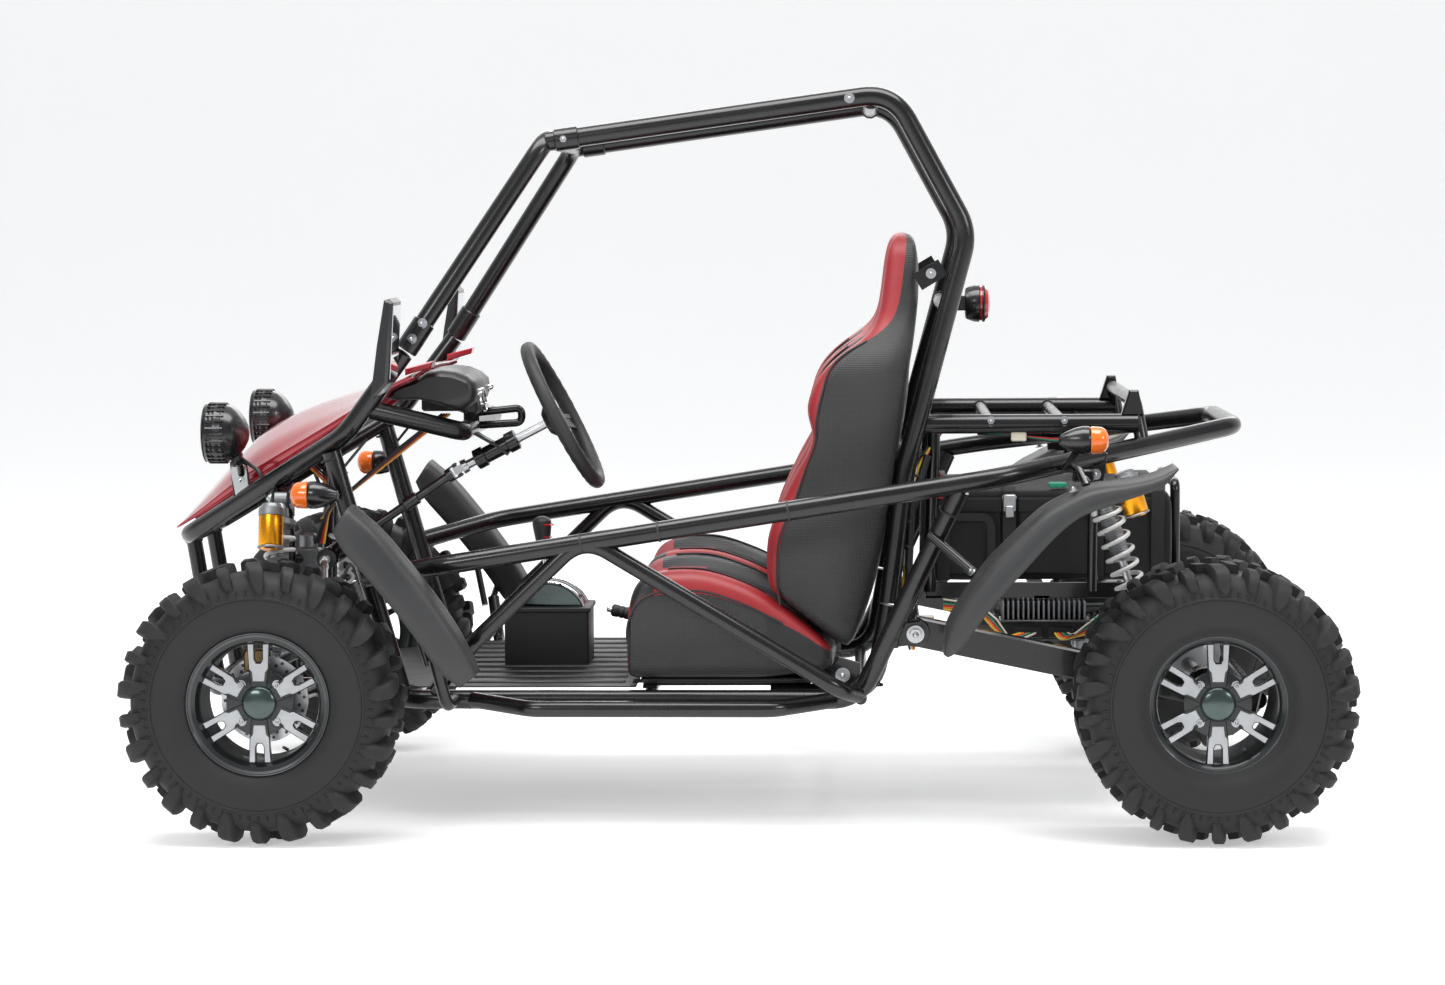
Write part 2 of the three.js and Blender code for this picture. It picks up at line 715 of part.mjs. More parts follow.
function knuckle(s) {
  const x = FRONT_AXLE_X;
  const z = FRONT_TYRE.radius;
  const parts = [
    boxAcross(x - 22, x + 22, 514 * s, 575 * s, 324, 338),
    boxAcross(x - 22, x + 22, 514 * s, 575 * s, 206, 220),
    boxAcross(x - 22, x + 22, 557 * s, 575 * s, 206, 338),
    rod([x, KINGPIN_Y * s, 206], [x, KINGPIN_Y * s, 338], 8, 12),
    rod([x, 570 * s, z], [x, 646 * s, z], 12.5, 16),
    rod([x + 8, 530 * s, 332], [-800, 505 * s, 386], 9, 8),
  ];
  const caliper = boxAcross(x - 38, x + 8, 573 * s, 598 * s, 326, 362);
  parts.push(cut(caliper, [boxAcross(x - 60, x + 30, 583 * s, 589 * s, 318, 357)]));
  return join(parts);
}

function swingArm() {
  const parts = [];
  const tools = [];
  const z = (x) => SWING_PIVOT.z - 0.209 * (x - SWING_PIVOT.x);
  for (const { s } of SIDES) {
    parts.push(barXZ([SWING_PIVOT.x + 4, z(SWING_PIVOT.x + 4)], [1018, z(1018)], SWING_Y * s, 40, 58));
    const pivot = (y) => [SWING_PIVOT.x, y * s, SWING_PIVOT.z];
    const axle = (y) => [REAR_AXLE_X, y * s, REAR_TYRE.radius];
    parts.push(rod(pivot(362), pivot(426), 28, 12));
    parts.push(rod(axle(362), axle(410), 40, 12));
    tools.push(rod(axle(340), axle(430), 15 + GAP, 12));
    tools.push(rod(pivot(340), pivot(440), 13 + GAP, 12));
    for (const side of [-1, 1]) {
      const middle = (SWING_Y + side * (YOKE_GAP + YOKE_PLATE / 2)) * s;
      parts.push(boxAcross(790, 822, middle - 2.5, middle + 2.5, 298, 352));
    }
  }
  parts.push(rod([450, -SWING_Y, z(450)], [450, SWING_Y, z(450)], SMALL_TUBE));
  parts.push(rod([1018, -SWING_Y, z(1018)], [1018, SWING_Y, z(1018)], SMALL_TUBE));
  return cut(join(parts), tools);
}

function driveMotor() {
  const parts = [
    rod([REAR_AXLE_X, -55, 268], [REAR_AXLE_X, 55, 268], 56, 14),
    rod([735, -50, 310], [735, 130, 310], 58, 14),
    box([735, -40, 262], [REAR_AXLE_X, 40, 318]),
    barXZ([450, 356], [700, 326], 0, 50, 22),
  ];
  const tools = [
    rod([REAR_AXLE_X, -80, 268], [REAR_AXLE_X, 80, 268], 15 + GAP, 16),
    rod([450, -60, 356], [450, 60, 356], SMALL_TUBE + GAP),
    box([420, -60, 320], [450, 60, 390]),
  ];
  return cut(join(parts), tools);
}

function rearAxle() {
  const at = (y) => [REAR_AXLE_X, y, REAR_TYRE.radius];
  const parts = [rod(at(-640), at(640), 15, 12)];
  parts.push(rod(at(150), at(155), 85, 16));
  parts.push(rod(at(140), at(165), 28, 12));
  for (const { s } of SIDES) parts.push(rod(at(586 * s), at(600 * s), 45, 12));
  return join(parts);
}

// Upper half of a coil-over damper, hung from its top eye; the rod half slides in it.
function shockAxes({ top, bottom }, s) {
  const a = vec(mirrored(top, s));
  const b = vec(mirrored(bottom, s));
  const down = b.clone().sub(a).normalize();
  const at = (distance) => a.clone().addScaledVector(down, distance).toArray();
  return { length: a.distanceTo(b), down, at };
}

const SHOCK_BODY_LENGTH = 178;
const SPRING_SEAT_RADIUS = 30;

function eye(point, axis, radius, width) {
  const half = axis.map((part) => (part * width) / 2);
  const from = point.map((value, i) => value - half[i]);
  const to = point.map((value, i) => value + half[i]);
  return rod(from, to, radius, 10);
}

function shockBody(shock, s, eyeAxis, canisterShift) {
  const { at } = shockAxes(shock, s);
  const shifted = (distance) => at(distance).map((value, i) => value + canisterShift[i]);
  const parts = [
    eye(at(0), eyeAxis, 13, 24),
    rod(at(8), at(48), 11.5, 8),
    rod(at(44), at(56), SPRING_SEAT_RADIUS, 12),
    rod(at(50), at(SHOCK_BODY_LENGTH), 18, 10),
    rod(shifted(20), shifted(106), 25, 8),
    rod(at(34), shifted(34), 11),
  ];
  return join(parts).subtract(rod(at(62), at(SHOCK_BODY_LENGTH + 10), 9.2, 8));
}

function shockRod(shock, s, eyeAxis) {
  const { at, length } = shockAxes(shock, s);
  const parts = [
    eye(at(length), eyeAxis, 13, 24),
    rod(at(length), at(length - 40), 11.5, 8),
    rod(at(length - 40), at(length - 30), SPRING_SEAT_RADIUS, 12),
    rod(at(length - 32), at(130), 8, 8),
  ];
  return join(parts);
}

// ---------------------------------------------------------------- controls

function steeringWheel() {
  const rimRadius = 150;
  const torus = new THREE.TorusGeometry(rimRadius, 14, 6, 18);
  torus.rotateX(Math.PI / 2);
  const axis = vec(columnPoint(1)).sub(vec(columnPoint(0)));
  const turn = new THREE.Quaternion().setFromUnitVectors(new THREE.Vector3(0, 1, 0), axis);
  torus.applyQuaternion(turn);
  torus.translate(...WHEEL_HUB);
  const parts = [toSolid(torus), rod(columnPoint(6), columnPoint(34), 34, 12)];
  for (const degrees of [10, 130, 250]) {
    const angle = (degrees * Math.PI) / 180;
    const out = new THREE.Vector3(Math.cos(angle), 0, Math.sin(angle)).applyQuaternion(turn);
    const tip = vec(WHEEL_HUB).addScaledVector(out, rimRadius).toArray();
    parts.push(rod(columnPoint(16), tip, 9, 6));
  }
  return join(parts);
}

function steeringColumn() {
  const end = COLUMN_LENGTH - 8;
  return join([
    rod(columnPoint(34.4), columnPoint(end), 9, 14),
    rod(columnPoint(end - 24), columnPoint(end), 15, 12),
  ]);
}

function lowerColumn() {
  return join([
    rod(lowerColumnPoint(8), lowerColumnPoint(PINION_BOSS_START), 9, 14),
    rod(lowerColumnPoint(8), lowerColumnPoint(32), 15, 12),
  ]);
}

function tieRod(s) {
  const inner = [-835, 286 * s, 510];
  const outer = [-800, 505 * s, 362];
  const balls = [inner, outer].map((point) => {
    const ball = new THREE.SphereGeometry(11, 8, 6);
    ball.translate(...point);
    return toSolid(ball);
  });
  return join([rod(inner, outer, 7, 8), ...balls]);
}

function mirror(s) {
  const outline = [[-694, 848], [-660, 878], [-647, 1032], [-665, 1037]];
  const head = slabXZ(outline, 484 * s, 606 * s);
  return join([head, rod([-689.5, 455 * s, 868], [-676, 500 * s, 884], 8, 8)]);
}

function pedal(y) {
  return join([
    rod([-745, y - 17, 292], [-745, y + 17, 292], 9, 10),
    barXZ([-745, 292], [-790, 425], y, 12, 12),
    barXZ([-778, 398], [-798, 452], y, 56, 10),
  ]);
}

function floorPan() {
  const outline = [[-205, -380], [-205, 380], [-640, 380], [-780, 196], [-780, -196], [-640, -380]];
  const parts = [slabXY(outline, FLOOR_Z, FLOOR_Z + FLOOR_THICKNESS)];
  for (const y of [-170, -80]) {
    for (const side of [-1, 1]) {
      const plate = y + side * 22;
      parts.push(box([-760, plate - 3, FLOOR_Z], [-730, plate + 3, 304]));
    }
  }
  return join(parts);
}

function shiftLever() {
  return join([rod([-408, 0, 384], [-420, 0, 512], 5.5, 8), rod([-420, 0, 505], [-423, 0, 570], 15, 12, 20)]);
}

function handBrake() {
  return join([
    rod([-62, -5.5, 302], [-62, 5.5, 302], 9, 10),
    barXZ([-62, 302], [-200, 358], 0, 8, 18),
    rod([-190, 0, 357], [-281, 0, 378], 13, 12),
  ]);
}

// ---------------------------------------------------------------- assembly

addNode('lower_frame', lowerFrame(), COLOURS.frame);
addNode('floor_pan', floorPan(), COLOURS.frame);
addNode('nose_frame', noseFrame(), COLOURS.frame);
addNode('windscreen_hoop', tube(screenPath, MAIN_TUBE), COLOURS.frame);
addNode('roof_hoop', roofHoop(), COLOURS.frame);
addNode('rear_frame', rearFrame(), COLOURS.frame);
addNode('seat_rails', seatRails(), COLOURS.frame);
addNode('hood', hood(), COLOURS.hood);
addNode('dash_panel', dashPanel(), COLOURS.plastic);
addNode('console_box', consoleBox(), COLOURS.lamp);
addNode('battery_pack', box([370, -230, 460.5], [862, 230, 640]), COLOURS.fabric);
addNode('motor_controller', controller(), COLOURS.plastic);
const TAIL_LIGHT_PROFILE = [[0, -25], [30, -22], [38, -6], [38, 14], [30, 24], [0, 27]];
addNode('tail_light', turnedX(TAIL_LIGHT_PROFILE, 12, [480, 0, 1010]), COLOURS.lens);

for (const { name, s } of SIDES) {
  addNode(`side_bar_${name}`, sideBar(s), COLOURS.frame);
  addNode(`headlight_${name}`, headlight(s), COLOURS.lamp);
  addNode(`front_fender_${name}`, mudguard(FRONT_GUARD, 566 * s, 686 * s, 3), COLOURS.plastic);
  addNode(`rear_fender_${name}`, mudguard(REAR_GUARD, 500 * s, 686 * s, 3), COLOURS.plastic);
  addNode(`seat_cushion_${name}`,
    slabXZ(SEAT_CUSHION, (SEAT_Y - SEAT_WIDTH / 2) * s, (SEAT_Y + SEAT_WIDTH / 2) * s), COLOURS.vinyl);
  addNode(`seat_back_${name}`,
    slabXZ(SEAT_BACK, (SEAT_Y - SEAT_WIDTH / 2) * s, (SEAT_Y + SEAT_WIDTH / 2) * s), COLOURS.vinyl);
  addNode(`mirror_${name}`, mirror(s), COLOURS.plastic);
  addNode(`tie_rod_${name}`, tieRod(s), COLOURS.steel);
  addNode(`front_arm_${name}`, frontArm(s), COLOURS.frame);
  addNode(`knuckle_${name}`, knuckle(s), COLOURS.steel);
  addNode(`front_rim_${name}`, rim(s, FRONT_AXLE_X, 272, 601, 64, 13, 84), COLOURS.alloy);
  addNode(`front_tyre_${name}`, tyre(FRONT_TYRE, s, FRONT_AXLE_X, 601, 64, 52), COLOURS.rubber);
  addNode(`rear_rim_${name}`, rim(s, REAR_AXLE_X, 268, 565, 95, 15 + GAP, 0), COLOURS.alloy);
  addNode(`rear_tyre_${name}`, tyre(REAR_TYRE, s, REAR_AXLE_X, 565, 95, 80), COLOURS.rubber);
  addNode(`front_shock_body_${name}`, shockBody(FRONT_SHOCK, s, [1, 0, 0], [-10, 52 * s, 6]), COLOURS.gold);
  addNode(`front_shock_rod_${name}`, shockRod(FRONT_SHOCK, s, [1, 0, 0]), COLOURS.steel);
  addNode(`rear_shock_body_${name}`, shockBody(REAR_SHOCK, s, [0, 1, 0], [52, 0, 16]), COLOURS.gold);
  addNode(`rear_shock_rod_${name}`, shockRod(REAR_SHOCK, s, [0, 1, 0]), COLOURS.steel);
}

addNode('steering_wheel', steeringWheel(), COLOURS.rubber);
addNode('steering_column', steeringColumn(), COLOURS.steel);
addNode('lower_column', lowerColumn(), COLOURS.steel);
addNode('rack_bar', rod([-835, -RACK_BAR_HALF, 510], [-835, RACK_BAR_HALF, 510], 10, 12), COLOURS.steel);
addNode('swing_arm', swingArm(), COLOURS.frame);
addNode('drive_motor', driveMotor(), COLOURS.steel);
addNode('rear_axle', rearAxle(), COLOURS.steel);
addNode('brake_pedal', pedal(-170), COLOURS.steel);
addNode('accelerator_pedal', pedal(-80), COLOURS.steel);
addNode('shift_lever', shiftLever(), COLOURS.steel);
addNode('hand_brake', handBrake(), COLOURS.rubber);

export default kart;
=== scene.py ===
# %% [markdown]
# # A two-seat electric off-road kart
# The kart is a welded tube frame with sprung wheels, two bucket seats and a battery bag behind them. The solid
# frame already exists and moves, so this file only makes the looks. Every piece is made at its own place in
# metres and then rides on the body that carries it.

# %% Load the frame
import math
import bpy
import bmesh
from mathutils import Vector, Matrix


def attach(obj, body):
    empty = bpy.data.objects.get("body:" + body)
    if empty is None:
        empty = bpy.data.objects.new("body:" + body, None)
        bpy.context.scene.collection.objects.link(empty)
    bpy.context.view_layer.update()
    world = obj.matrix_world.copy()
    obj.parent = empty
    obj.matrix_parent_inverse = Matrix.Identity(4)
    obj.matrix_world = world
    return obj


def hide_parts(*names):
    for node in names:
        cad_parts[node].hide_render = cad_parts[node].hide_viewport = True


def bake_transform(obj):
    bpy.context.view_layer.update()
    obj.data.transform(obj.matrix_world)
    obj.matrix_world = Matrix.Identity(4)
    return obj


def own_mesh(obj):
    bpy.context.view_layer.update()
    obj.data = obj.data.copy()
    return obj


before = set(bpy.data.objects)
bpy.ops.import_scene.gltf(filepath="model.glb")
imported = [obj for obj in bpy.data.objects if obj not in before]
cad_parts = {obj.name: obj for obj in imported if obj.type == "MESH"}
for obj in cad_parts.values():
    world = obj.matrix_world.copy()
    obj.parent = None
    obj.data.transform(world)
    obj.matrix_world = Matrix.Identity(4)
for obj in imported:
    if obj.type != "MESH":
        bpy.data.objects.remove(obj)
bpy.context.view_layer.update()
MM = 0.001
SIDES = (("left", -1), ("right", 1))
ALONG, ACROSS, UPWARD = (1, 0, 0), (0, 1, 0), (0, 0, 1)


def add_object(name, data):
    made = bpy.data.objects.new(name, data)
    bpy.context.scene.collection.objects.link(made)
    return made


# %% [markdown]
# ## Camera, floor and light
# A kart is looked at from the side, near its middle and a little below roof height. Four soft lamps and a pale
# sky give long white reflections, which is what shows gloss black tubes.

# %% Camera and studio
EYE = Vector((0.2415, -7.289, 1.190))
YAW, PITCH, ROLL = math.radians(2.266), math.radians(4.458), math.radians(-0.372)
look = Vector((-math.sin(YAW) * math.cos(PITCH), math.cos(YAW) * math.cos(PITCH), -math.sin(PITCH)))
level_right = look.cross(Vector(UPWARD)).normalized()
level_up = level_right.cross(look)
right = math.cos(ROLL) * level_right + math.sin(ROLL) * level_up
up = math.cos(ROLL) * level_up - math.sin(ROLL) * level_right

camera_data = bpy.data.cameras.new("camera")
camera_data.lens = 87.94
camera_data.sensor_width = 36.0
camera = add_object("camera", camera_data)
turned = Matrix((right, up, -look)).transposed().to_4x4()
camera.matrix_world = Matrix.Translation(EYE) @ turned
bpy.context.scene.camera = camera


def area_lamp(name, place, target, size, power):
    lamp = bpy.data.lights.new(name, "AREA")
    lamp.shape = "RECTANGLE"
    lamp.size, lamp.size_y = size
    lamp.energy = power
    thing = add_object(name, lamp)
    thing.location = place
    thing.rotation_euler = (Vector(target) - Vector(place)).to_track_quat("-Z", "Y").to_euler()


area_lamp("top_lamp", (0, -1.0, 4.4), (0, 0, 0.4), (5.0, 2.2), 260)
area_lamp("front_lamp", (-2.8, -5.4, 3.2), (0, 0, 0.5), (2.6, 1.2), 95)
area_lamp("tail_lamp", (4.2, -3.4, 2.6), (0.4, 0, 0.6), (1.8, 1.2), 60)
area_lamp("far_lamp", (0.5, 4.6, 3.0), (0, 0, 0.8), (5.0, 1.6), 70)

sky = bpy.data.worlds.new("pale_sky")
sky.use_nodes = True
sky.node_tree.nodes["Background"].inputs["Color"].default_value = (0.95, 0.97, 1.0, 1)
sky.node_tree.nodes["Background"].inputs["Strength"].default_value = 0.42
bpy.context.scene.world = sky
bpy.context.scene.view_settings.view_transform = "Standard"
print("camera looks along", tuple(round(v, 3) for v in look))

# %% [markdown]
# ## A small workshop for meshes
# Most of the kart is bent tube, turned parts, plates and blocks. A Shape collects such forms in millimetres,
# and `build` turns it into one clean mesh with outward faces, smooth where the surface is round and crisp at
# its edges.

# %% Shapes
class Shape:
    def __init__(self):
        self.points = []
        self.faces = []

    def add(self, points, faces):
        start = len(self.points)
        self.points += [Vector(p) for p in points]
        self.faces += [[start + i for i in face] for face in faces]

    # A round bar along points; radius may be one number or one for each point.
    def sweep(self, path, radius, sides=20, closed=False):
        path = [Vector(p) for p in path]
        count = len(path)
        radii = radius if isinstance(radius, (list, tuple)) else [radius] * count
        tangents = []
        for i in range(count):
            before = path[i - 1] if (i or closed) else path[i]
            after = path[(i + 1) % count] if (i < count - 1 or closed) else path[i]
            a = (path[i] - before).normalized() if (path[i] - before).length > 1e-9 else Vector()
            b = (after - path[i]).normalized() if (after - path[i]).length > 1e-9 else Vector()
            tangents.append((a + b).normalized())
        side = tangents[0].orthogonal().normalized()
        points, faces = [], []
        for i in range(count):
            if i:
                side = (tangents[i - 1].rotation_difference(tangents[i]) @ side).normalized()
            side = (side - tangents[i] * side.dot(tangents[i])).normalized()
            other = tangents[i].cross(side)
            for k in range(sides):
                angle = 2 * math.pi * k / sides
                points.append(path[i] + radii[i] * (math.cos(angle) * side + math.sin(angle) * other))
        rings = count if closed else count - 1
        shift = 0
        if closed:
            last = (tangents[-1].rotation_difference(tangents[0]) @ side).normalized()
            first = points[0] - path[0]
            gap = last.angle(first.normalized())
            turn = 1 if last.cross(first).dot(tangents[0]) > 0 else -1
            shift = turn * round(gap / (2 * math.pi / sides))
        for i in range(rings):
            for k in range(sides):
                j = (k + 1) % sides
                if i == count - 1:
                    faces.append([i * sides + (k + shift) % sides, i * sides + (j + shift) % sides, j, k])
                else:
                    faces.append([i * sides + k, i * sides + j, (i + 1) * sides + j, (i + 1) * sides + k])
        if not closed:
            faces.append(list(range(sides)))
            faces.append([(count - 1) * sides + k for k in range(sides)])
        self.add(points, faces)

    def rod(self, start, end, radius, sides=20):
        self.sweep([start, end], radius, sides)

    # A turned part: [along, radius] points round an axis. A radius of 0 closes to a point.
    def turn(self, profile, centre, axis, segments=32, closed=False):
        axis = Vector(axis).normalized()
        one = axis.orthogonal().normalized()
        if abs(axis.y) > 0.99:
            one = Vector(ALONG)
        two = axis.cross(one)
        centre = Vector(centre)
        points, rows, faces = [], [], []
        for along, radius in profile:
            if radius < 1e-6:
                points.append(centre + axis * along)
                rows.append([len(points) - 1] * segments)
                continue
            rows.append(list(range(len(points), len(points) + segments)))
            for k in range(segments):
                angle = 2 * math.pi * k / segments
                points.append(centre + axis * along + radius * (math.cos(angle) * one + math.sin(angle) * two))
        pairs = list(zip(rows, rows[1:])) + ([(rows[-1], rows[0])] if closed else [])
        for a, b in pairs:
            for k in range(segments):
                j = (k + 1) % segments
                face = [a[k], a[j], b[j], b[k]]
                face = [v for i, v in enumerate(face) if v != face[i - 1]]
                if len(face) > 2:
                    faces.append(face)
        if not closed:
            for row in (rows[0], rows[-1]):
                if row[0] != row[1]:
                    faces.append(list(row))
        self.add(points, faces)

    # A flat outline carried along one axis, with a small chamfer on both rims. The two heights come in any order.
    def plate(self, outline, axis, low, high, chamfer=1.0):
        low, high = sorted((low, high))
        count = len(outline)
        area = sum(outline[i - 1][0] * outline[i][1] - outline[i][0] * outline[i - 1][1] for i in range(count))
        loop = [Vector(p) for p in (outline if area > 0 else outline[::-1])]

        def shrunk(amount):
            out = []
            for i in range(count):
                a = (loop[i] - loop[i - 1]).normalized()
                b = (loop[(i + 1) % count] - loop[i]).normalized()
                normal = Vector((-(a + b).y, (a + b).x))
                if normal.length < 1e-6:
                    normal = Vector((-a.y, a.x))
                normal.normalize()
                out.append(loop[i] + normal * amount / max(0.35, normal.dot(Vector((-a.y, a.x)))))
            return out

        def placed(p, h):
            return {"x": (h, p[0], p[1]), "y": (p[0], h, p[1]), "z": (p[0], p[1], h)}[axis]

        small = shrunk(chamfer)
        rows = [(small, low), (loop, low + chamfer), (loop, high - chamfer), (small, high)]
        points = [placed(p, h) for ring, h in rows for p in ring]
        faces = [[r * count + i, r * count + (i + 1) % count, (r + 1) * count + (i + 1) % count, (r + 1) * count
                  + i] for r in range(3) for i in range(count)]
        faces += [list(range(count)), [3 * count + i for i in range(count)]]
        self.add(points, faces)

    # A box with eight-sided plan; its two corners may name the left and right faces in any order.
    def block(self, low, high, chamfer=1.5):
        c, (near, far) = chamfer, sorted((low[1], high[1]))
        plan = [(low[0] + c, near), (high[0] - c, near), (high[0], near + c), (high[0], far - c),
                (high[0] - c, far), (low[0] + c, far), (low[0], far - c), (low[0], near + c)]
        self.plate(plan, "z", low[2], high[2], chamfer)

    # A flat bar from one point to another, with its broad face's direction given.
    def bar(self, start, end, width, thick, face=ACROSS):
        start, end = Vector(start), Vector(end)
        along = (end - start).normalized()
        face = (Vector(face) - along * along.dot(Vector(face))).normalized()
        across = along.cross(face)
        points = []
        for p in (start, end):
            for a, b in ((-1, -1), (1, -1), (1, 1), (-1, 1)):
                points.append(p + across * a * width / 2 + face * b * thick / 2)
        quads = [[0, 1, 2, 3], [4, 5, 6, 7], [0, 1, 5, 4], [1, 2, 6, 5], [2, 3, 7, 6], [3, 0, 4, 7]]
        self.add(points, quads)

    # Rows of points joined into a skin; closed rows make a hull with capped ends.
    def skin(self, rows, wrap=True, caps=True):
        across = len(rows[0])
        points = [p for row in rows for p in row]
        span = across if wrap else across - 1
        faces = [[r * across + i, r * across + (i + 1) % across, (r + 1) * across + (i + 1) % across,
                  (r + 1) * across + i] for r in range(len(rows) - 1) for i in range(span)]
        if wrap and caps:
            faces += [list(range(across)), [(len(rows) - 1) * across + i for i in range(across)]]
        self.add(points, faces)


# The same rounding as the frame's own bent tubes, in finer steps.
def bent(corners, steps=8):
    points = [Vector(corners[0][:3])]
    for i in range(1, len(corners) - 1):
        corner = Vector(corners[i][:3])
        back = Vector(corners[i - 1][:3]) - corner
        ahead = Vector(corners[i + 1][:3]) - corner
        room = min(back.length, ahead.length) * 0.48
        radius = corners[i][3] if len(corners[i]) > 3 else 60
        reach = min(radius / math.tan(back.angle(ahead) / 2), room)
        a, b = corner + back.normalized() * reach, corner + ahead.normalized() * reach
        for k in range(steps + 1):
            t = k / steps
            points.append(a * (1 - t) ** 2 + corner * 2 * t * (1 - t) + b * t * t)
    points.append(Vector(corners[-1][:3]))
    return points


def outward_mesh(name, shape):
    mesh = bpy.data.meshes.new(name)
    mesh.from_pydata([p * MM for p in shape.points], [], shape.faces)
    work = bmesh.new()
    work.from_mesh(mesh)
    bmesh.ops.recalc_face_normals(work, faces=work.faces)
    work.to_mesh(mesh)
    work.free()
    return mesh


# Smooth where the surface is round, and crisp where faces meet at more than the sharp angle.
def shaded_mesh(name, shape, sharp=32):
    mesh = outward_mesh(name, shape)
    mesh.shade_smooth()
    mesh.set_sharp_from_angle(angle=math.radians(sharp))
    return mesh


# A body is a name, or four values for a hose between two bodies; these values are not read, and such a hose stays
# fixed where it is made.
def settle(piece, body, replaces=()):
    if isinstance(body, tuple):
        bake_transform(piece)
    else:
        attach(piece, body)
    if replaces:
        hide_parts(*replaces)
    return piece


def build(name, shape, body, slot, material, replaces=(), sharp=32):
    mesh = shaded_mesh(name, shape, sharp)
    mesh.materials.append(material)
    return settle(add_object(name, mesh), body, replaces)


# An open skin that gets a wall on its inner side.
def walled(name, rows, sharp, outward, thickness, material, replaces):
    skin = Shape()
    skin.skin(rows, wrap=False)
    mesh = shaded_mesh(name, skin, sharp)
    if sum(p.normal.dot(outward) for p in mesh.polygons) < 0:
        mesh.flip_normals()
    mesh.materials.append(material)
    piece = add_object(name, mesh)
    wall = piece.modifiers.new("wall", "SOLIDIFY")
    wall.thickness = thickness * MM
    wall.offset = -1
    return settle(piece, "chassis", replaces)


print("shape tools ready")

# %% [markdown]
# ## Shared surface effects
# Paint, rubber and plastic all show fine grain, and all gather a little dust and rub. These effects are node
# groups that put out a height, a mask or a normal. The shader itself stays in each material.

# %% Node groups for grain, weave and dust
def new_group(name, inputs, outputs):
    group = bpy.data.node_groups.new(name, "ShaderNodeTree")
    for title, kind, value in inputs:
        socket = group.interface.new_socket(title, in_out="INPUT", socket_type=kind)
        socket.default_value = value
    for title, kind in outputs:
        group.interface.new_socket(title, in_out="OUTPUT", socket_type=kind)
    return group, group.nodes.new("NodeGroupInput"), group.nodes.new("NodeGroupOutput")


# One node: settings first, then each input is either a plain value or a link.
def node(tree, kind, inputs=(), **settings):
    made = tree.nodes.new(kind)
    for key, value in settings.items():
        setattr(made, key, value)
    for key, value in dict(inputs).items():
        if isinstance(value, bpy.types.NodeSocket):
            tree.links.new(value, made.inputs[key])
        else:
            made.inputs[key].default_value = value
    return made


def math_node(tree, operation, *values):
    return node(tree, "ShaderNodeMath", dict(enumerate(values)), operation=operation).outputs[0]


def noise_in(tree, vector, scale, detail, rough=0.55):
    inputs = {"Detail": detail, "Roughness": rough, "Vector": vector, "Scale": scale}
    return node(tree, "ShaderNodeTexNoise", inputs).outputs["Fac"]


grain_group, gin, gout = new_group(
    "surface_grain",
    [("Vector", "NodeSocketVector", (0, 0, 0)), ("Grain", "NodeSocketFloat", 900.0),
     ("Patches", "NodeSocketFloat", 9.0)],
    [("Height", "NodeSocketFloat"), ("Dust", "NodeSocketFloat")])
fine = noise_in(grain_group, gin.outputs["Vector"], gin.outputs["Grain"], 2.0)
patch = noise_in(grain_group, gin.outputs["Vector"], gin.outputs["Patches"], 5.0, 0.65)
softened = node(grain_group, "ShaderNodeMapRange", {"From Min": 0.42, "From Max": 0.72, "Value": patch})
grain_group.links.new(fine, gout.inputs["Height"])
grain_group.links.new(softened.outputs["Result"], gout.inputs["Dust"])

weave_group, win, wout = new_group(
    "diagonal_weave",
    [("Vector", "NodeSocketVector", (0, 0, 0)), ("Threads", "NodeSocketFloat", 1100.0)],
    [("Height", "NodeSocketFloat"), ("Mask", "NodeSocketFloat")])
parts = node(weave_group, "ShaderNodeSeparateXYZ", {0: win.outputs["Vector"]})
lean = math_node(weave_group, "ADD", parts.outputs["X"], parts.outputs["Y"])
waves = []
for slant in ("ADD", "SUBTRACT"):
    across_threads = math_node(weave_group, slant, lean, parts.outputs["Z"])
    phase = math_node(weave_group, "MULTIPLY", across_threads, win.outputs["Threads"])
    waves.append(math_node(weave_group, "SINE", phase))
woven = math_node(weave_group, "MULTIPLY", *waves)
raised = node(weave_group, "ShaderNodeMapRange", {"From Min": -0.6, "From Max": 0.6, "Value": woven})
weave_group.links.new(woven, wout.inputs["Height"])
weave_group.links.new(raised.outputs["Result"], wout.inputs["Mask"])
print("effects:", grain_group.name, weave_group.name)

# %% [markdown]
# ## Materials
# One helper makes a Principled material with grain in its bump, a slow change of roughness, and a second colour
# that comes through where dust or wear gathers. Each finish then gives its own numbers.

# %% Materials
WEAVE_HEIGHT, WEAVE_SHADE, DUST_TINT = 0.35 * MM, 0.15, 1.35


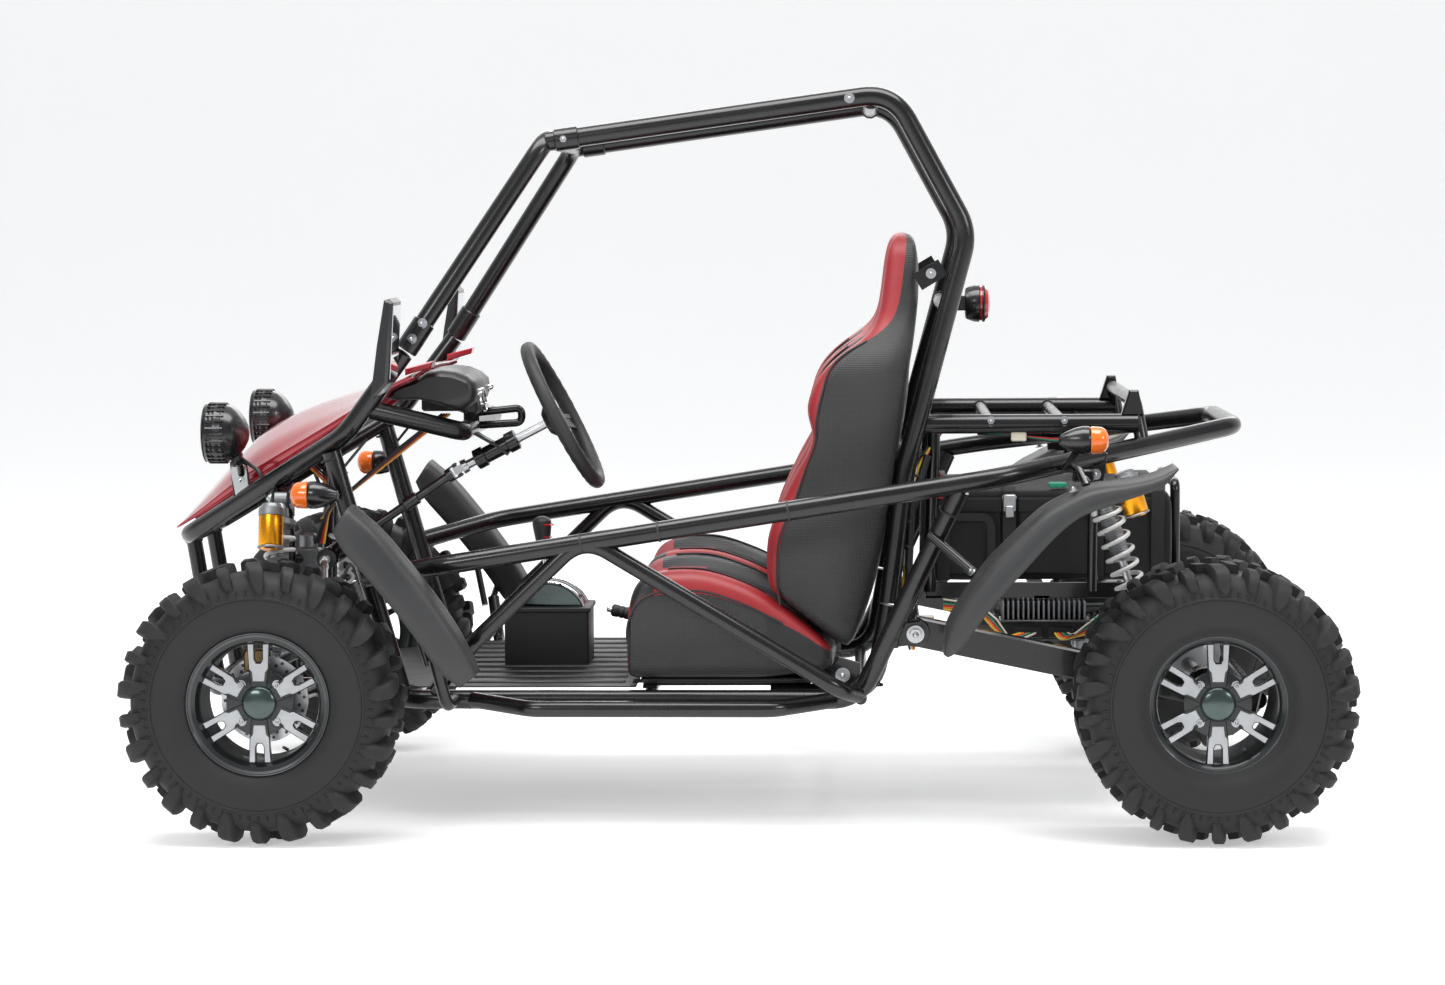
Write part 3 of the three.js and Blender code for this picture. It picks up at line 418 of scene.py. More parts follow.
def finish(name, colour, rough, metal=0.0, second=None, grain=900.0, depth=0.08, patches=9.0, spread=0.12,
           weave=0.0, coat=0.0, coat_rough=0.05, mix=0.5, **plain):
    material = bpy.data.materials.new(name)
    material.use_nodes = True
    tree = material.node_tree
    shader = tree.nodes["Principled BSDF"]
    place = node(tree, "ShaderNodeTexCoord").outputs["Object"]
    effect = node(tree, "ShaderNodeGroup", {"Grain": grain, "Patches": patches, "Vector": place},
                  node_tree=grain_group)
    dust = effect.outputs["Dust"]
    under = second or [c * DUST_TINT + 0.004 for c in colour]
    amount = math_node(tree, "MULTIPLY", dust, mix)
    tint = node(tree, "ShaderNodeMix", {"A": (*colour, 1), "B": (*under, 1), "Factor": amount},
                data_type="RGBA").outputs["Result"]
    bump = node(tree, "ShaderNodeBump", {"Strength": 1.0, "Distance": depth * MM,
                                         "Height": effect.outputs["Height"]})
    normal = bump.outputs["Normal"]
    if weave:
        cloth = node(tree, "ShaderNodeGroup", {"Threads": weave, "Vector": place}, node_tree=weave_group)
        threads = node(tree, "ShaderNodeBump", {"Distance": WEAVE_HEIGHT, "Strength": 0.9, "Normal": normal,
                                                "Height": cloth.outputs["Height"]})
        normal = threads.outputs["Normal"]
        shade = (*[c * WEAVE_SHADE for c in colour], 1)
        tint = node(tree, "ShaderNodeMix", {"A": shade, "B": tint, "Factor": cloth.outputs["Mask"]},
                    data_type="RGBA").outputs["Result"]
    shine = math_node(tree, "MULTIPLY_ADD", dust, spread, rough)
    for key, socket in (("Base Color", tint), ("Roughness", shine), ("Normal", normal)):
        tree.links.new(socket, shader.inputs[key])
    values = {"Metallic": metal, "Coat Weight": coat, "Coat Roughness": coat_rough}
    values.update({key.replace("_", " "): value for key, value in plain.items()})
    for key, value in values.items():
        shader.inputs[key].default_value = value
    return material


gloss_black = finish("gloss_black_paint", (0.004, 0.004, 0.0045), 0.24, 0.0, (0.008, 0.008, 0.009), 260.0, 0.04,
                     7.0, 0.08, coat=0.25, coat_rough=0.06, Specular_IOR_Level=0.42)
floor_black = finish("black_plate", (0.007, 0.007, 0.008), 0.42, 0.0, (0.016, 0.016, 0.016), 600.0, 0.12, 6.0,
                     0.2)
hood_red = finish("metallic_red", (0.36, 0.004, 0.016), 0.3, 0.45, (0.26, 0.002, 0.01), 2600.0, 0.02, 3.0, 0.05,
                  coat=1.0, coat_rough=0.03)
guard_grey = finish("moulded_grey", (0.02, 0.0205, 0.0215), 0.44, 0.0, (0.04, 0.04, 0.041), 1500.0, 0.12, 5.0,
                    0.14)
black_plastic = finish("moulded_black", (0.009, 0.009, 0.01), 0.36, 0.0, (0.018, 0.018, 0.018), 1500.0, 0.08,
                       8.0, 0.12)
shell_black = finish("lamp_shell", (0.005, 0.005, 0.006), 0.24, 0.0, None, 500.0, 0.02, 8.0, 0.08, coat=0.25)
tyre_black = finish("tyre_rubber", (0.013, 0.013, 0.014), 0.6, 0.0, (0.026, 0.026, 0.026), 420.0, 0.22, 6.0,
                    0.14, Specular_IOR_Level=0.35)
grip_black = finish("grip_rubber", (0.016, 0.016, 0.017), 0.5, 0.0, (0.028, 0.028, 0.028), 1200.0, 0.15, 9.0,
                    0.1)
carbon_vinyl = finish("woven_vinyl", (0.024, 0.024, 0.0255), 0.34, 0.0, None, 700.0, 0.05, 7.0, 0.1,
                      weave=900.0)
plain_vinyl = finish("plain_vinyl", (0.01, 0.01, 0.011), 0.42, 0.0, (0.028, 0.028, 0.028), 1300.0, 0.18, 8.0,
                     0.1)
red_vinyl = finish("red_vinyl", (0.27, 0.012, 0.016), 0.4, 0.0, (0.32, 0.022, 0.027), 1300.0, 0.16, 8.0, 0.1)
rose_vinyl = finish("worn_red_vinyl", (0.24, 0.032, 0.04), 0.45, 0.0, (0.29, 0.05, 0.06), 1300.0, 0.16, 8.0,
                    0.1)
bag_cloth = finish("bag_nylon", (0.009, 0.009, 0.0105), 0.62, 0.0, (0.026, 0.026, 0.028), 300.0, 0.4, 6.0, 0.1,
                   weave=2600.0)
strap_cloth = finish("strap_webbing", (0.011, 0.011, 0.012), 0.55, 0.0, (0.02, 0.02, 0.02), 900.0, 0.1, 8.0,
                     0.1, weave=1600.0)
machined = finish("machined_alloy", (0.4, 0.41, 0.42), 0.28, 1.0, (0.3, 0.31, 0.32), 1400.0, 0.03, 20.0, 0.12)
rim_dark = finish("rim_dark_paint", (0.014, 0.017, 0.017), 0.28, 0.4, (0.01, 0.012, 0.012), 900.0, 0.02, 9.0,
                  0.1, coat=0.3)
cap_green = finish("cap_green_black", (0.05, 0.075, 0.07), 0.22, 0.75, (0.03, 0.045, 0.042), 900.0, 0.02, 14.0,
                   0.08, coat=0.6)
zinc = finish("zinc_steel", (0.52, 0.53, 0.54), 0.3, 1.0, (0.38, 0.39, 0.4), 700.0, 0.04, 30.0, 0.16)
dark_steel = finish("dark_steel", (0.09, 0.09, 0.095), 0.36, 0.9, (0.05, 0.05, 0.05), 700.0, 0.06, 20.0, 0.16)
cast_alloy = finish("cast_alloy", (0.3, 0.31, 0.32), 0.42, 0.9, (0.2, 0.2, 0.21), 420.0, 0.3, 12.0, 0.14)
chrome = finish("chrome", (0.8, 0.81, 0.82), 0.06, 1.0, (0.75, 0.76, 0.78), 300.0, 0.01, 9.0, 0.04)
gold = finish("gold_anodised", (0.86, 0.36, 0.02), 0.26, 1.0, (0.75, 0.28, 0.012), 900.0, 0.03, 12.0, 0.08)
spring_white = finish("spring_white", (0.62, 0.62, 0.6), 0.34, 0.0, (0.5, 0.5, 0.47), 500.0, 0.05, 14.0, 0.14,
                      coat=0.3)
brass_tan = finish("caliper_tan", (0.4, 0.28, 0.13), 0.42, 0.7, (0.28, 0.19, 0.08), 500.0, 0.1, 20.0, 0.14)
amber = finish("amber_lens", (0.85, 0.16, 0.01), 0.12, 0.0, (0.7, 0.1, 0.005), 300.0, 0.03, 20.0, 0.04,
               coat=0.8)
red_lens = finish("red_lens", (0.5, 0.008, 0.012), 0.12, 0.0, (0.35, 0.005, 0.008), 300.0, 0.03, 20.0, 0.04,
                  coat=0.8)
clear_lens = finish("clear_lens", (0.62, 0.64, 0.66), 0.1, 0.2, (0.5, 0.52, 0.54), 300.0, 0.03, 20.0, 0.05,
                    coat=0.9)
looking_glass = finish("mirror_glass", (0.75, 0.77, 0.8), 0.03, 1.0, (0.7, 0.72, 0.75), 200.0, 0.004, 6.0, 0.02)
wire_colours = {
    "black": finish("wire_black", (0.012, 0.012, 0.013), 0.45),
    "red": finish("wire_red", (0.5, 0.01, 0.015), 0.4),
    "green": finish("wire_green", (0.0, 0.24, 0.13), 0.4),
    "yellow": finish("wire_yellow", (0.7, 0.45, 0.03), 0.4),
    "orange": finish("wire_orange", (0.72, 0.18, 0.02), 0.4),
    "ivory": finish("plug_ivory", (0.6, 0.55, 0.45), 0.42),
}
floor_paint = finish("studio_floor", (0.8, 0.8, 0.8), 0.7, 0.0, (0.82, 0.82, 0.82), 40.0, 0.01, 0.6, 0.05,
                     Emission_Color=(1, 1, 1, 1), Emission_Strength=0.42, Specular_IOR_Level=0.1)
print("materials", len(bpy.data.materials))

# %% [markdown]
# ## Floor
# The floor is one pale sheet that curves up far behind the kart, so no line shows where it ends. It catches a
# soft shadow and is only a stage.

# %% Floor
FLAT_END, BEND, HALF_WIDTH, TOP, GAP = 9, 6, 90, 70, 0.0015
profile = [(-60, 0), (FLAT_END, 0)]
for t in range(5, 91, 5):
    profile.append((FLAT_END + BEND * math.sin(math.radians(t)), BEND - BEND * math.cos(math.radians(t))))
profile.append((FLAT_END + BEND, TOP))
points = [(x, y, z - GAP) for y, z in profile for x in (-HALF_WIDTH, HALF_WIDTH)]
floor_mesh = bpy.data.meshes.new("studio_floor")
floor_mesh.from_pydata(points, [], [(2 * i, 2 * i + 1, 2 * i + 3, 2 * i + 2) for i in range(len(profile) - 1)])
floor_mesh.shade_smooth()
floor_mesh.materials.append(floor_paint)
studio_floor = add_object("studio_floor", floor_mesh)
print("floor", round(sum(p.area for p in floor_mesh.polygons)), "m2")

# %% [markdown]
# ## Repeating pieces with Geometry Nodes
# Lugs, spokes, fins, screws, weld beads and stitches all repeat. Four small trees do that: one repeats round an
# axle, one repeats along a line, one puts a screw at each marked point, and one lays beads or stitches along a
# path. Each tree ends in Realize Instances and Set Material, and `baked` turns the result into a plain mesh.

# %% Geometry Nodes helpers
def new_tree(name, inputs):
    tree = bpy.data.node_groups.new(name, "GeometryNodeTree")
    tree.interface.new_socket("Geometry", in_out="INPUT", socket_type="NodeSocketGeometry")
    ids = {}
    for title, kind in inputs:
        ids[title] = tree.interface.new_socket(title, in_out="INPUT", socket_type=kind).identifier
    tree.interface.new_socket("Geometry", in_out="OUTPUT", socket_type="NodeSocketGeometry")
    return tree, ids, tree.nodes.new("NodeGroupInput"), tree.nodes.new("NodeGroupOutput")


def close_tree(tree, source, material_socket, out):
    whole = node(tree, "GeometryNodeRealizeInstances", {0: source})
    paint = node(tree, "GeometryNodeSetMaterial", {"Geometry": whole.outputs[0], "Material": material_socket})
    tree.links.new(paint.outputs[0], out.inputs[0])


def instances(tree, points, thing, rotation=None, scale=None):
    inputs = {"Points": points, "Instance": thing}
    if rotation:
        inputs["Rotation"] = rotation
    if scale:
        inputs["Scale"] = scale
    return node(tree, "GeometryNodeInstanceOnPoints", inputs).outputs[0]


def round_tree():
    tree, ids, source, out = new_tree("repeat_round_axle", [
        ("Count", "NodeSocketInt"), ("Centre", "NodeSocketVector"), ("Axis", "NodeSocketVector"),
        ("Material", "NodeSocketMaterial")])
    given = source.outputs
    line = node(tree, "GeometryNodeMeshLine", {"Count": given["Count"], "Offset": (0, 0, 0)})
    index = node(tree, "GeometryNodeInputIndex")
    whole_turns = math_node(tree, "MULTIPLY", index.outputs[0], 2 * math.pi)
    angle = math_node(tree, "DIVIDE", whole_turns, given["Count"])
    turn = node(tree, "FunctionNodeAxisAngleToRotation", {"Axis": given["Axis"], "Angle": angle})
    copies = instances(tree, line.outputs[0], given["Geometry"], turn.outputs[0])
    move = node(tree, "GeometryNodeTransform", {"Geometry": copies, "Translation": given["Centre"]})
    close_tree(tree, move.outputs[0], given["Material"], out)
    return tree, ids


def line_tree():
    tree, ids, source, out = new_tree("repeat_in_line", [
        ("Count", "NodeSocketInt"), ("Step", "NodeSocketVector"), ("Material", "NodeSocketMaterial")])
    given = source.outputs
    line = node(tree, "GeometryNodeMeshLine", {"Count": given["Count"], "Offset": given["Step"]})
    close_tree(tree, instances(tree, line.outputs[0], given["Geometry"]), given["Material"], out)
    return tree, ids


# Each marked point carries a direction; the screw is a washer, a hexagon head and a thread end.
def screw_tree():
    tree, ids, source, out = new_tree("screws_on_points", [
        ("Radius", "NodeSocketFloat"), ("Height", "NodeSocketFloat"), ("Material", "NodeSocketMaterial")])
    given = source.outputs

    def share(key, amount):
        return math_node(tree, "MULTIPLY", given[key], amount)

    def raised_by(thing, height):
        up_by = node(tree, "ShaderNodeCombineXYZ", {"Z": height})
        return node(tree, "GeometryNodeTransform",
                    {"Geometry": thing.outputs[0], "Translation": up_by.outputs[0]})

    head = node(tree, "GeometryNodeMeshCylinder", {"Vertices": 6, "Radius": given["Radius"],
                                                   "Depth": given["Height"]})
    washer = node(tree, "GeometryNodeMeshCylinder", {"Vertices": 18, "Radius": share("Radius", 1.45),
                                                     "Depth": share("Height", 0.3)})
    thread_end = node(tree, "GeometryNodeMeshUVSphere",
                      {"Segments": 10, "Rings": 6, "Radius": share("Radius", 0.55)})
    joined = tree.nodes.new("GeometryNodeJoinGeometry")
    for made in (raised_by(thread_end, given["Height"]), raised_by(head, share("Height", 0.5)), washer):
        tree.links.new(made.outputs[0], joined.inputs[0])
    way = node(tree, "GeometryNodeInputNamedAttribute", {"Name": "direction"}, data_type="FLOAT_VECTOR")
    aim = node(tree, "FunctionNodeAlignRotationToVector", {"Vector": way.outputs["Attribute"]}, axis="Z")
    copies = instances(tree, given["Geometry"], joined.outputs[0], aim.outputs[0])
    close_tree(tree, copies, given["Material"], out)
    return tree, ids


# Beads or stitches along the edges of a wire mesh, turned to follow it.
def path_tree():
    tree, ids, source, out = new_tree("beads_on_path", [
        ("Spacing", "NodeSocketFloat"), ("Size", "NodeSocketVector"), ("Material", "NodeSocketMaterial")])
    given = source.outputs
    curve = node(tree, "GeometryNodeMeshToCurve", {0: given["Geometry"]})
    marks = node(tree, "GeometryNodeCurveToPoints", {"Curve": curve.outputs[0], "Length": given["Spacing"]},
                 mode="LENGTH")
    bead = node(tree, "GeometryNodeMeshUVSphere", {"Segments": 8, "Rings": 5, "Radius": 1.0})
    copies = instances(tree, marks.outputs["Points"], bead.outputs[0], marks.outputs["Rotation"], given["Size"])
    smooth = node(tree, "GeometryNodeSetShadeSmooth", {"Geometry": copies})
    close_tree(tree, smooth.outputs[0], given["Material"], out)
    return tree, ids


ROUND, LINE, SCREWS, BEADS = round_tree(), line_tree(), screw_tree(), path_tree()


# Runs one tree on a seed mesh and keeps the plain result.
def baked(name, seed_mesh, tree_and_ids, values, body, replaces=()):
    tree, ids = tree_and_ids
    seed = add_object(name + "_seed", seed_mesh)
    repeat = seed.modifiers.new("repeat", "NODES")
    repeat.node_group = tree
    for title, value in values.items():
        repeat[ids[title]] = value
    seed.update_tag()
    graph = bpy.context.evaluated_depsgraph_get()
    mesh = bpy.data.meshes.new_from_object(seed.evaluated_get(graph), depsgraph=graph)
    mesh.name = name
    bpy.data.objects.remove(seed)
    piece = add_object(name, mesh)
    return settle(piece, body, replaces)


# Repeats a shape made at the origin round an axle through centre.
def round_axle(name, shape, count, centre, material, body, axis=ACROSS, sharp=32):
    values = {"Count": count, "Centre": [c * MM for c in centre], "Axis": axis, "Material": material}
    return baked(name, shaded_mesh("seed", shape, sharp), ROUND, values, body)


def screws(name, marks, radius, height, body="chassis", material=zinc):
    mesh = bpy.data.meshes.new("marks")
    mesh.from_pydata([Vector(p) * MM for p, _ in marks], [], [])
    way = mesh.attributes.new("direction", "FLOAT_VECTOR", "POINT")
    way.data.foreach_set("vector", [c for _, d in marks for c in Vector(d).normalized()])
    return baked(name, mesh, SCREWS, {"Radius": radius * MM, "Height": height * MM, "Material": material}, body)


def beads(name, paths, spacing, size, body, material, closed=False):
    points, edges = [], []
    for path in paths:
        start = len(points)
        points += [Vector(p) * MM for p in path]
        edges += [(start + i, start + i + 1) for i in range(len(path) - 1)]
        if closed:
            edges.append((start + len(path) - 1, start))
    mesh = bpy.data.meshes.new("wire")
    mesh.from_pydata(points, edges, [])
    values = {"Spacing": spacing * MM, "Size": [s * MM for s in size], "Material": material}
    return baked(name, mesh, BEADS, values, body)


def ring_path(centre, axis, radius, count=20):
    axis = Vector(axis).normalized()
    one = axis.orthogonal().normalized()
    two = axis.cross(one)
    angles = [2 * math.pi * k / count for k in range(count)]
    return [Vector(centre) + radius * (math.cos(a) * one + math.sin(a) * two) for a in angles]


# Points on a circle that lies in the xz plane at y, at angles in degrees.
def circle(x, z, radius, y, angles):
    turns = [math.radians(t) for t in angles]
    return [(x + radius * math.cos(t), y, z + radius * math.sin(t)) for t in turns]


# Weld beads round each joint of painted tubes.
def weld(name, rings, body="chassis", spacing=3.2, size=(1.5, 2.6, 2.0)):
    return beads(name, rings, spacing, size, body, gloss_black, True)


FRAME = ("chassis", "frame_paint", gloss_black)
print("trees", [t[0].name for t in (ROUND, LINE, SCREWS, BEADS)])

# %% [markdown]
# ## Lower frame
# The lower frame is bent round tube, welded at each joint. Each tube is a circle swept along a rounded path, on
# the same centre line as the solid frame, and a bead of weld runs round each place where one tube meets
# another.

# %% Tube sizes and the lower frame
MAIN, SMALL, THIN = 19, 16, 12.5
REAR_AXLE, MOTOR, TAIL_LIGHT = (912, 0, 268), (735, 0, 310), (480, 0, 1010)
LOWER_Z, LOWER_Y, FRONT_Y, SIDE_Y, HOOP_Y = 246, 405, 215, 525, 352
NOSE_Z = 552


def pipe(shape, corners, radius, sides=22, steps=8):
    shape.sweep(bent(corners, steps), radius, sides)


def perimeter(s):
    return [(-1075, 0, LOWER_Z), (-1075, FRONT_Y * s, LOWER_Z, 38), (-790, FRONT_Y * s, LOWER_Z, 90),
            (-650, LOWER_Y * s, LOWER_Z, 90), (234, 420 * s, LOWER_Z, 90), (430, 517 * s, 665)]


lower = Shape()
welds = []
for name, s in SIDES:
    pipe(lower, perimeter(s), MAIN)
    pipe(lower, [(60, HOOP_Y * s, 250), (262, HOOP_Y * s, 250, 80), (294, HOOP_Y * s, 425)], MAIN)
    pipe(lower, [(-530, 408 * s, LOWER_Z), (-400, 520 * s, 242, 60), (70, 520 * s, 241, 60),
                 (190, 420 * s, LOWER_Z)], SMALL)
    pipe(lower, [(-560, 408 * s, LOWER_Z), (-566, 505 * s, LOWER_Z, 40), (-584, 552 * s, 345)], THIN)
    lower.rod((-664, 398 * s, LOWER_Z), (-801, 398 * s, 735), MAIN, 22)
    lower.rod((-908, FRONT_Y * s, LOWER_Z), (-908, 318 * s, 655), SMALL)
    lower.rod((-908, 281 * s, 510), (-835, 130 * s, 510), 10)
    for x in (-1005, -862):
        for low in (x - 31, x + 25):
            lower.block((low, 210 * s, 233), (low + 6, 264 * s, 259), 1.5)
    for low in (-925.5, -895.5):
        fork = [(300 * s, 600), (300 * s, 668), (368 * s, 655), (368 * s, 626)]
        lower.plate(fork, "x", low, low + 5, 1)
    lower.bar((285, 438 * s, 372), (358, 438 * s, 380), 44, 8)
    lower.block((282, 434 * s, 352), (312, 462 * s, 392), 2)
    lower.plate([(180, 262), (232, 262), (238, 318), (196, 330), (180, 300)], "y", 408 * s, 414 * s)
    welds += [ring_path((-664, 398 * s, 266), (-0.27, 0, 0.96), 20),
              ring_path((-801, 398 * s, 720), (-0.27, 0, 0.96), 20),
              ring_path((-530, 409 * s, LOWER_Z), (0.76, 0.65 * s, 0), 17),
              ring_path((262, HOOP_Y * s, 268), (0.1, 0, 1), 20),
              ring_path((-908, 224 * s, 276), (0, 0.25 * s, 1), 17),
              ring_path((408, 508 * s, 622), (0.42, 0.2 * s, 0.88), 20)]
for x in (-655, -180, 125, 238):
    lower.rod((x, -LOWER_Y, LOWER_Z), (x, LOWER_Y, LOWER_Z), THIN)
lower.rod((-790, -FRONT_Y, LOWER_Z), (-790, FRONT_Y, LOWER_Z), THIN)
lower.rod((345, -446, 378), (345, 446, 378), 13)
lower.rod((-835, -226, 510), (-835, 150, 510), 20)
lower.turn([(0, 14), (34, 19), (60, 19), (70, 16)], (-835, -200, 510), (0.831, 0, 0.556), 24)
build("lower_tubes", lower, *FRAME, ["lower_frame"])
weld("lower_welds", welds)
rail_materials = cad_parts["seat_rails"].data.materials
rail_materials.clear()
rail_materials.append(floor_black)
print("lower frame points", len(lower.points))

# %% [markdown]
# ## Nose, dash hoop and column bearing
# The nose tubes rise from the front bar to the foot of the windscreen posts. The dash hoop between them carries
# the steering column in a bush on a flat bracket, with a grab loop beside it.

# %% Nose tubes
HUB, JOINT = Vector((-360, -200, 795)), Vector((-575, -200, 684))
down_column = (JOINT - HUB).normalized()


def on_column(distance):
    return HUB + down_column * distance


nose = Shape()
nose_welds = []
for name, s in SIDES:
    pipe(nose, [(-1128, 0, NOSE_Z), (-1128, 190 * s, NOSE_Z, 70), (-770, 415 * s, 770, 110),
                (-650, 430 * s, 930)], MAIN, 24, 12)
    nose.rod((-1132, 110 * s, 548), (-1085, 110 * s, 246), SMALL)
    nose.rod((-697, 424 * s, 868), (-690, 450 * s, 868), 11)
    nose.plate([(-1016, 620), (-980, 640), (-990, 708), (-1024, 708)], "y", 272 * s, 277 * s)
    nose.rod((-1000, 262 * s, 664), (-1000, 300 * s, 706), 7)
    nose_welds += [ring_path((-1130, 110 * s, 534), (-0.15, 0, 1), 17),
                   ring_path((-727, 414 * s, 820), (0.84, -0.55 * s, -0.25), 20)]
pipe(nose, [(-733, -418, 822), (-552, -300, 768, 50), (-552, 300, 768, 50), (-733, 418, 822)], MAIN)
nose.turn([(104, 17), (106, 21), (126, 21), (128, 17), (176, 17), (178, 21), (198, 21), (200, 17)], HUB,
          down_column, 24)
nose.bar((-556, -200, 770), (-500, -200, 738), 40, 6, (0.4, 0, 0.9))
nose.bar((-504, -200, 742), (-470, -200, 716), 34, 6, (0.75, 0, 0.65))
pipe(nose, [(-556, -130, 795), (-450, -130, 806, 14), (-450, -130, 776, 14), (-556, -130, 770)], 8, 14)
nose.block((-568, -140, 762), (-536, -120, 802), 2)
build("nose_tubes", nose, *FRAME, ["nose_frame"])
weld("nose_welds", nose_welds)
print("nose points", len(nose.points))

# %% [markdown]
# ## Hoops and side rails
# The windscreen hoop plugs into the nose tubes with bolted sleeves, and the roof hoop bolts to its top corners.
# Long side rails with a humped lower tube guard the door openings.

# %% Hoops, rails, sleeves
screen = Shape()
pipe(screen, [(-646, -429, 936), (-374, -355, 1345, 55), (-374, 355, 1345, 55), (-646, 429, 936)], MAIN, 24)
for name, s in SIDES:
    lean = Vector((272, -74 * s, 409)).normalized()
    foot = Vector((-646, 429 * s, 936))
    screen.turn([(-2, 20), (0, 22.5), (64, 22.5), (66, 20)], foot, lean, 28)
build("screen_tube", screen, *FRAME, ["windscreen_hoop"])

roof = Shape()
roof_welds = []
for name, s in SIDES:
    pipe(roof, [(-374, 345 * s, 1340), (305, HOOP_Y * s, 1431, 90), (452, HOOP_Y * s, 1158, 110),
                (325, HOOP_Y * s, 690, 200), (294, HOOP_Y * s, 430)], MAIN, 24, 12)
    roof.turn([(0, 20), (2, 22.5), (46, 22.5), (48, 20)], (-358, 345.5 * s, 1342), (0.991, 0.01 * s, 0.133), 28)
    roof.bar((352, (HOOP_Y - 16) * s, 1060), (402, (HOOP_Y - 16) * s, 1090), 36, 5)
    roof_welds += [ring_path((262, 334 * s, 1418), ACROSS, 17), ring_path((412, 334 * s, 1010), ACROSS, 17),
                   ring_path((328, 334 * s, 700), ACROSS, 17)]
for x, z in ((262, 1418), (412, 1010), (328, 700)):
    roof.rod((x, -HOOP_Y, z), (x, HOOP_Y, z), SMALL)
roof.block((424, -22, 996), (458, 22, 1026), 2)
build("roof_tubes", roof, *FRAME, ["roof_hoop"])
weld("roof_welds", roof_welds)

for name, s in SIDES:
    rail = Shape()
    pipe(rail, [(-729, 412 * s, 486), (-573, SIDE_Y * s, 522, 120), (500, SIDE_Y * s, 688, 160),
                (598, 459 * s, 704)], MAIN, 24, 12)
    pipe(rail, [(-596, 412 * s, 268), (-508, SIDE_Y * s, 374, 60), (-296, SIDE_Y * s, 578, 75),
                (198, SIDE_Y * s, 279, 60), (232, 470 * s, 262)], SMALL, 22, 10)
    build("side_rail_" + name, rail, *FRAME, ["side_bar_" + name])
print("hoops and rails done")

# %% [markdown]
# ## Rear loop, rack and battery tray
# The rear loop is one bent tube behind the rack. Two rails and two cross bars make the rack. Below it an
# angle-iron tray carries the battery bag, with an upright bracket of flat tube behind it.

# %% Rear frame
rear = Shape()
pipe(rear, [(599, -458, 704), (985, -200, 768, 60), (985, 200, 768, 60), (599, 458, 704)], MAIN, 24, 12)
pipe(rear, [(795, -326, 738), (780, -305, 822, 25), (780, 305, 822, 25), (795, 326, 738)], 14)
for x in (496, 640):
    rear.rod((x, -320, 780), (x, 320, 780), 12)
for x in (385, 600, 860):
    rear.block((x - 16, -262, 428), (x + 16, 262, 434), 1)
rear_welds = []
for name, s in SIDES:
    rear.rod((352, 320 * s, 780), (786, 320 * s, 780), MAIN, 24)
    rear.block((369, 254 * s, 428), (884, 262 * s, 460), 1)
    rear.rod((385, 320 * s, 780), (376, 262 * s, 444), THIN)
    rear.rod((700, 262 * s, 444), (700, 316 * s, 780), 11)
    rear.plate([(752, 796), (796, 796), (786, 846), (768, 846)], "y", 302 * s, 330 * s, 3)
    for side in (-1, 1):
        y = (385 + side * 15) * s
        rear.plate([(673, 728), (721, 728), (712, 668), (682, 668)], "y", y - 2.5, y + 2.5)
    rear_welds += [ring_path((496, 302 * s, 780), ACROSS, 13), ring_path((640, 302 * s, 780), ACROSS, 13),
                   ring_path((786, 320 * s, 780), ALONG, 20)]
pipe(rear, [(872, -170, 431), (872, -170, 651, 20), (872, 170, 651, 20), (872, 170, 431)], 10, 12)
build("rear_tubes", rear, *FRAME, ["rear_frame"])
weld("rear_welds", rear_welds)
print("rear frame points", len(rear.points))

# %% [markdown]
# ## Floor pan
# The floor is a thin pressed plate with long ribs for stiffness, and small ears that hold the pedals.

# %% Floor pan
pan = Shape()
pan.plate([(-205, -380), (-205, 380), (-640, 380), (-780, 196), (-780, -196), (-640, -380)], "z", 265.4, 268.4,
          0.8)
for y in range(-320, 321, 80):
    pan.plate([(-600, y - 9), (-230, y - 9), (-230, y + 9), (-600, y + 9)], "z", 266.4, 272.2, 2.6)
for y in (-170, -80):
    for side in (-1, 1):
        pan.block((-760, y + side * 22 - 3, 266), (-730, y + side * 22 + 3, 304), 1.5)
build("floor_plate", pan, "chassis", "frame_paint", floor_black, ["floor_pan"])
print("floor pan points", len(pan.points))

# %% [markdown]
# ## Hood
# The hood is one moulded panel with a flat top, sloping shoulders and a folded lower band along each side. Rows
# across the panel are spaced along a smooth curve, and the surface is then given a wall. Sharp folds stay
# crisp.

# %% Hood
HOOD_ROWS = [(-1158, 150, 566, 570, 576), (-1100, 178, 598, 625, 640), (-1048, 215, 630, 676, 696),
             (-1000, 243, 660, 716, 744), (-945, 276, 690, 752, 780), (-870, 322, 736, 788, 812),
             (-775, 372, 800, 826, 842), (-700, 380, 856, 864, 870), (-642, 384, 884, 888, 892)]


# A smooth curve through rows of numbers, with steps parts between each two rows.
def eased(rows, steps):
    out = []
    for i in range(len(rows) - 1):
        p = (rows[max(i - 1, 0)], rows[i], rows[i + 1], rows[min(i + 2, len(rows) - 1)])
        for k in range(steps):
            t = k / steps
            out.append([0.5 * (2 * b + (c - a) * t + (2 * a - 5 * b + 4 * c - d) * t * t
                               + (3 * b - a - 3 * c + d) * t ** 3) for a, b, c, d in zip(*p)])
    out.append(list(rows[-1]))
    return out


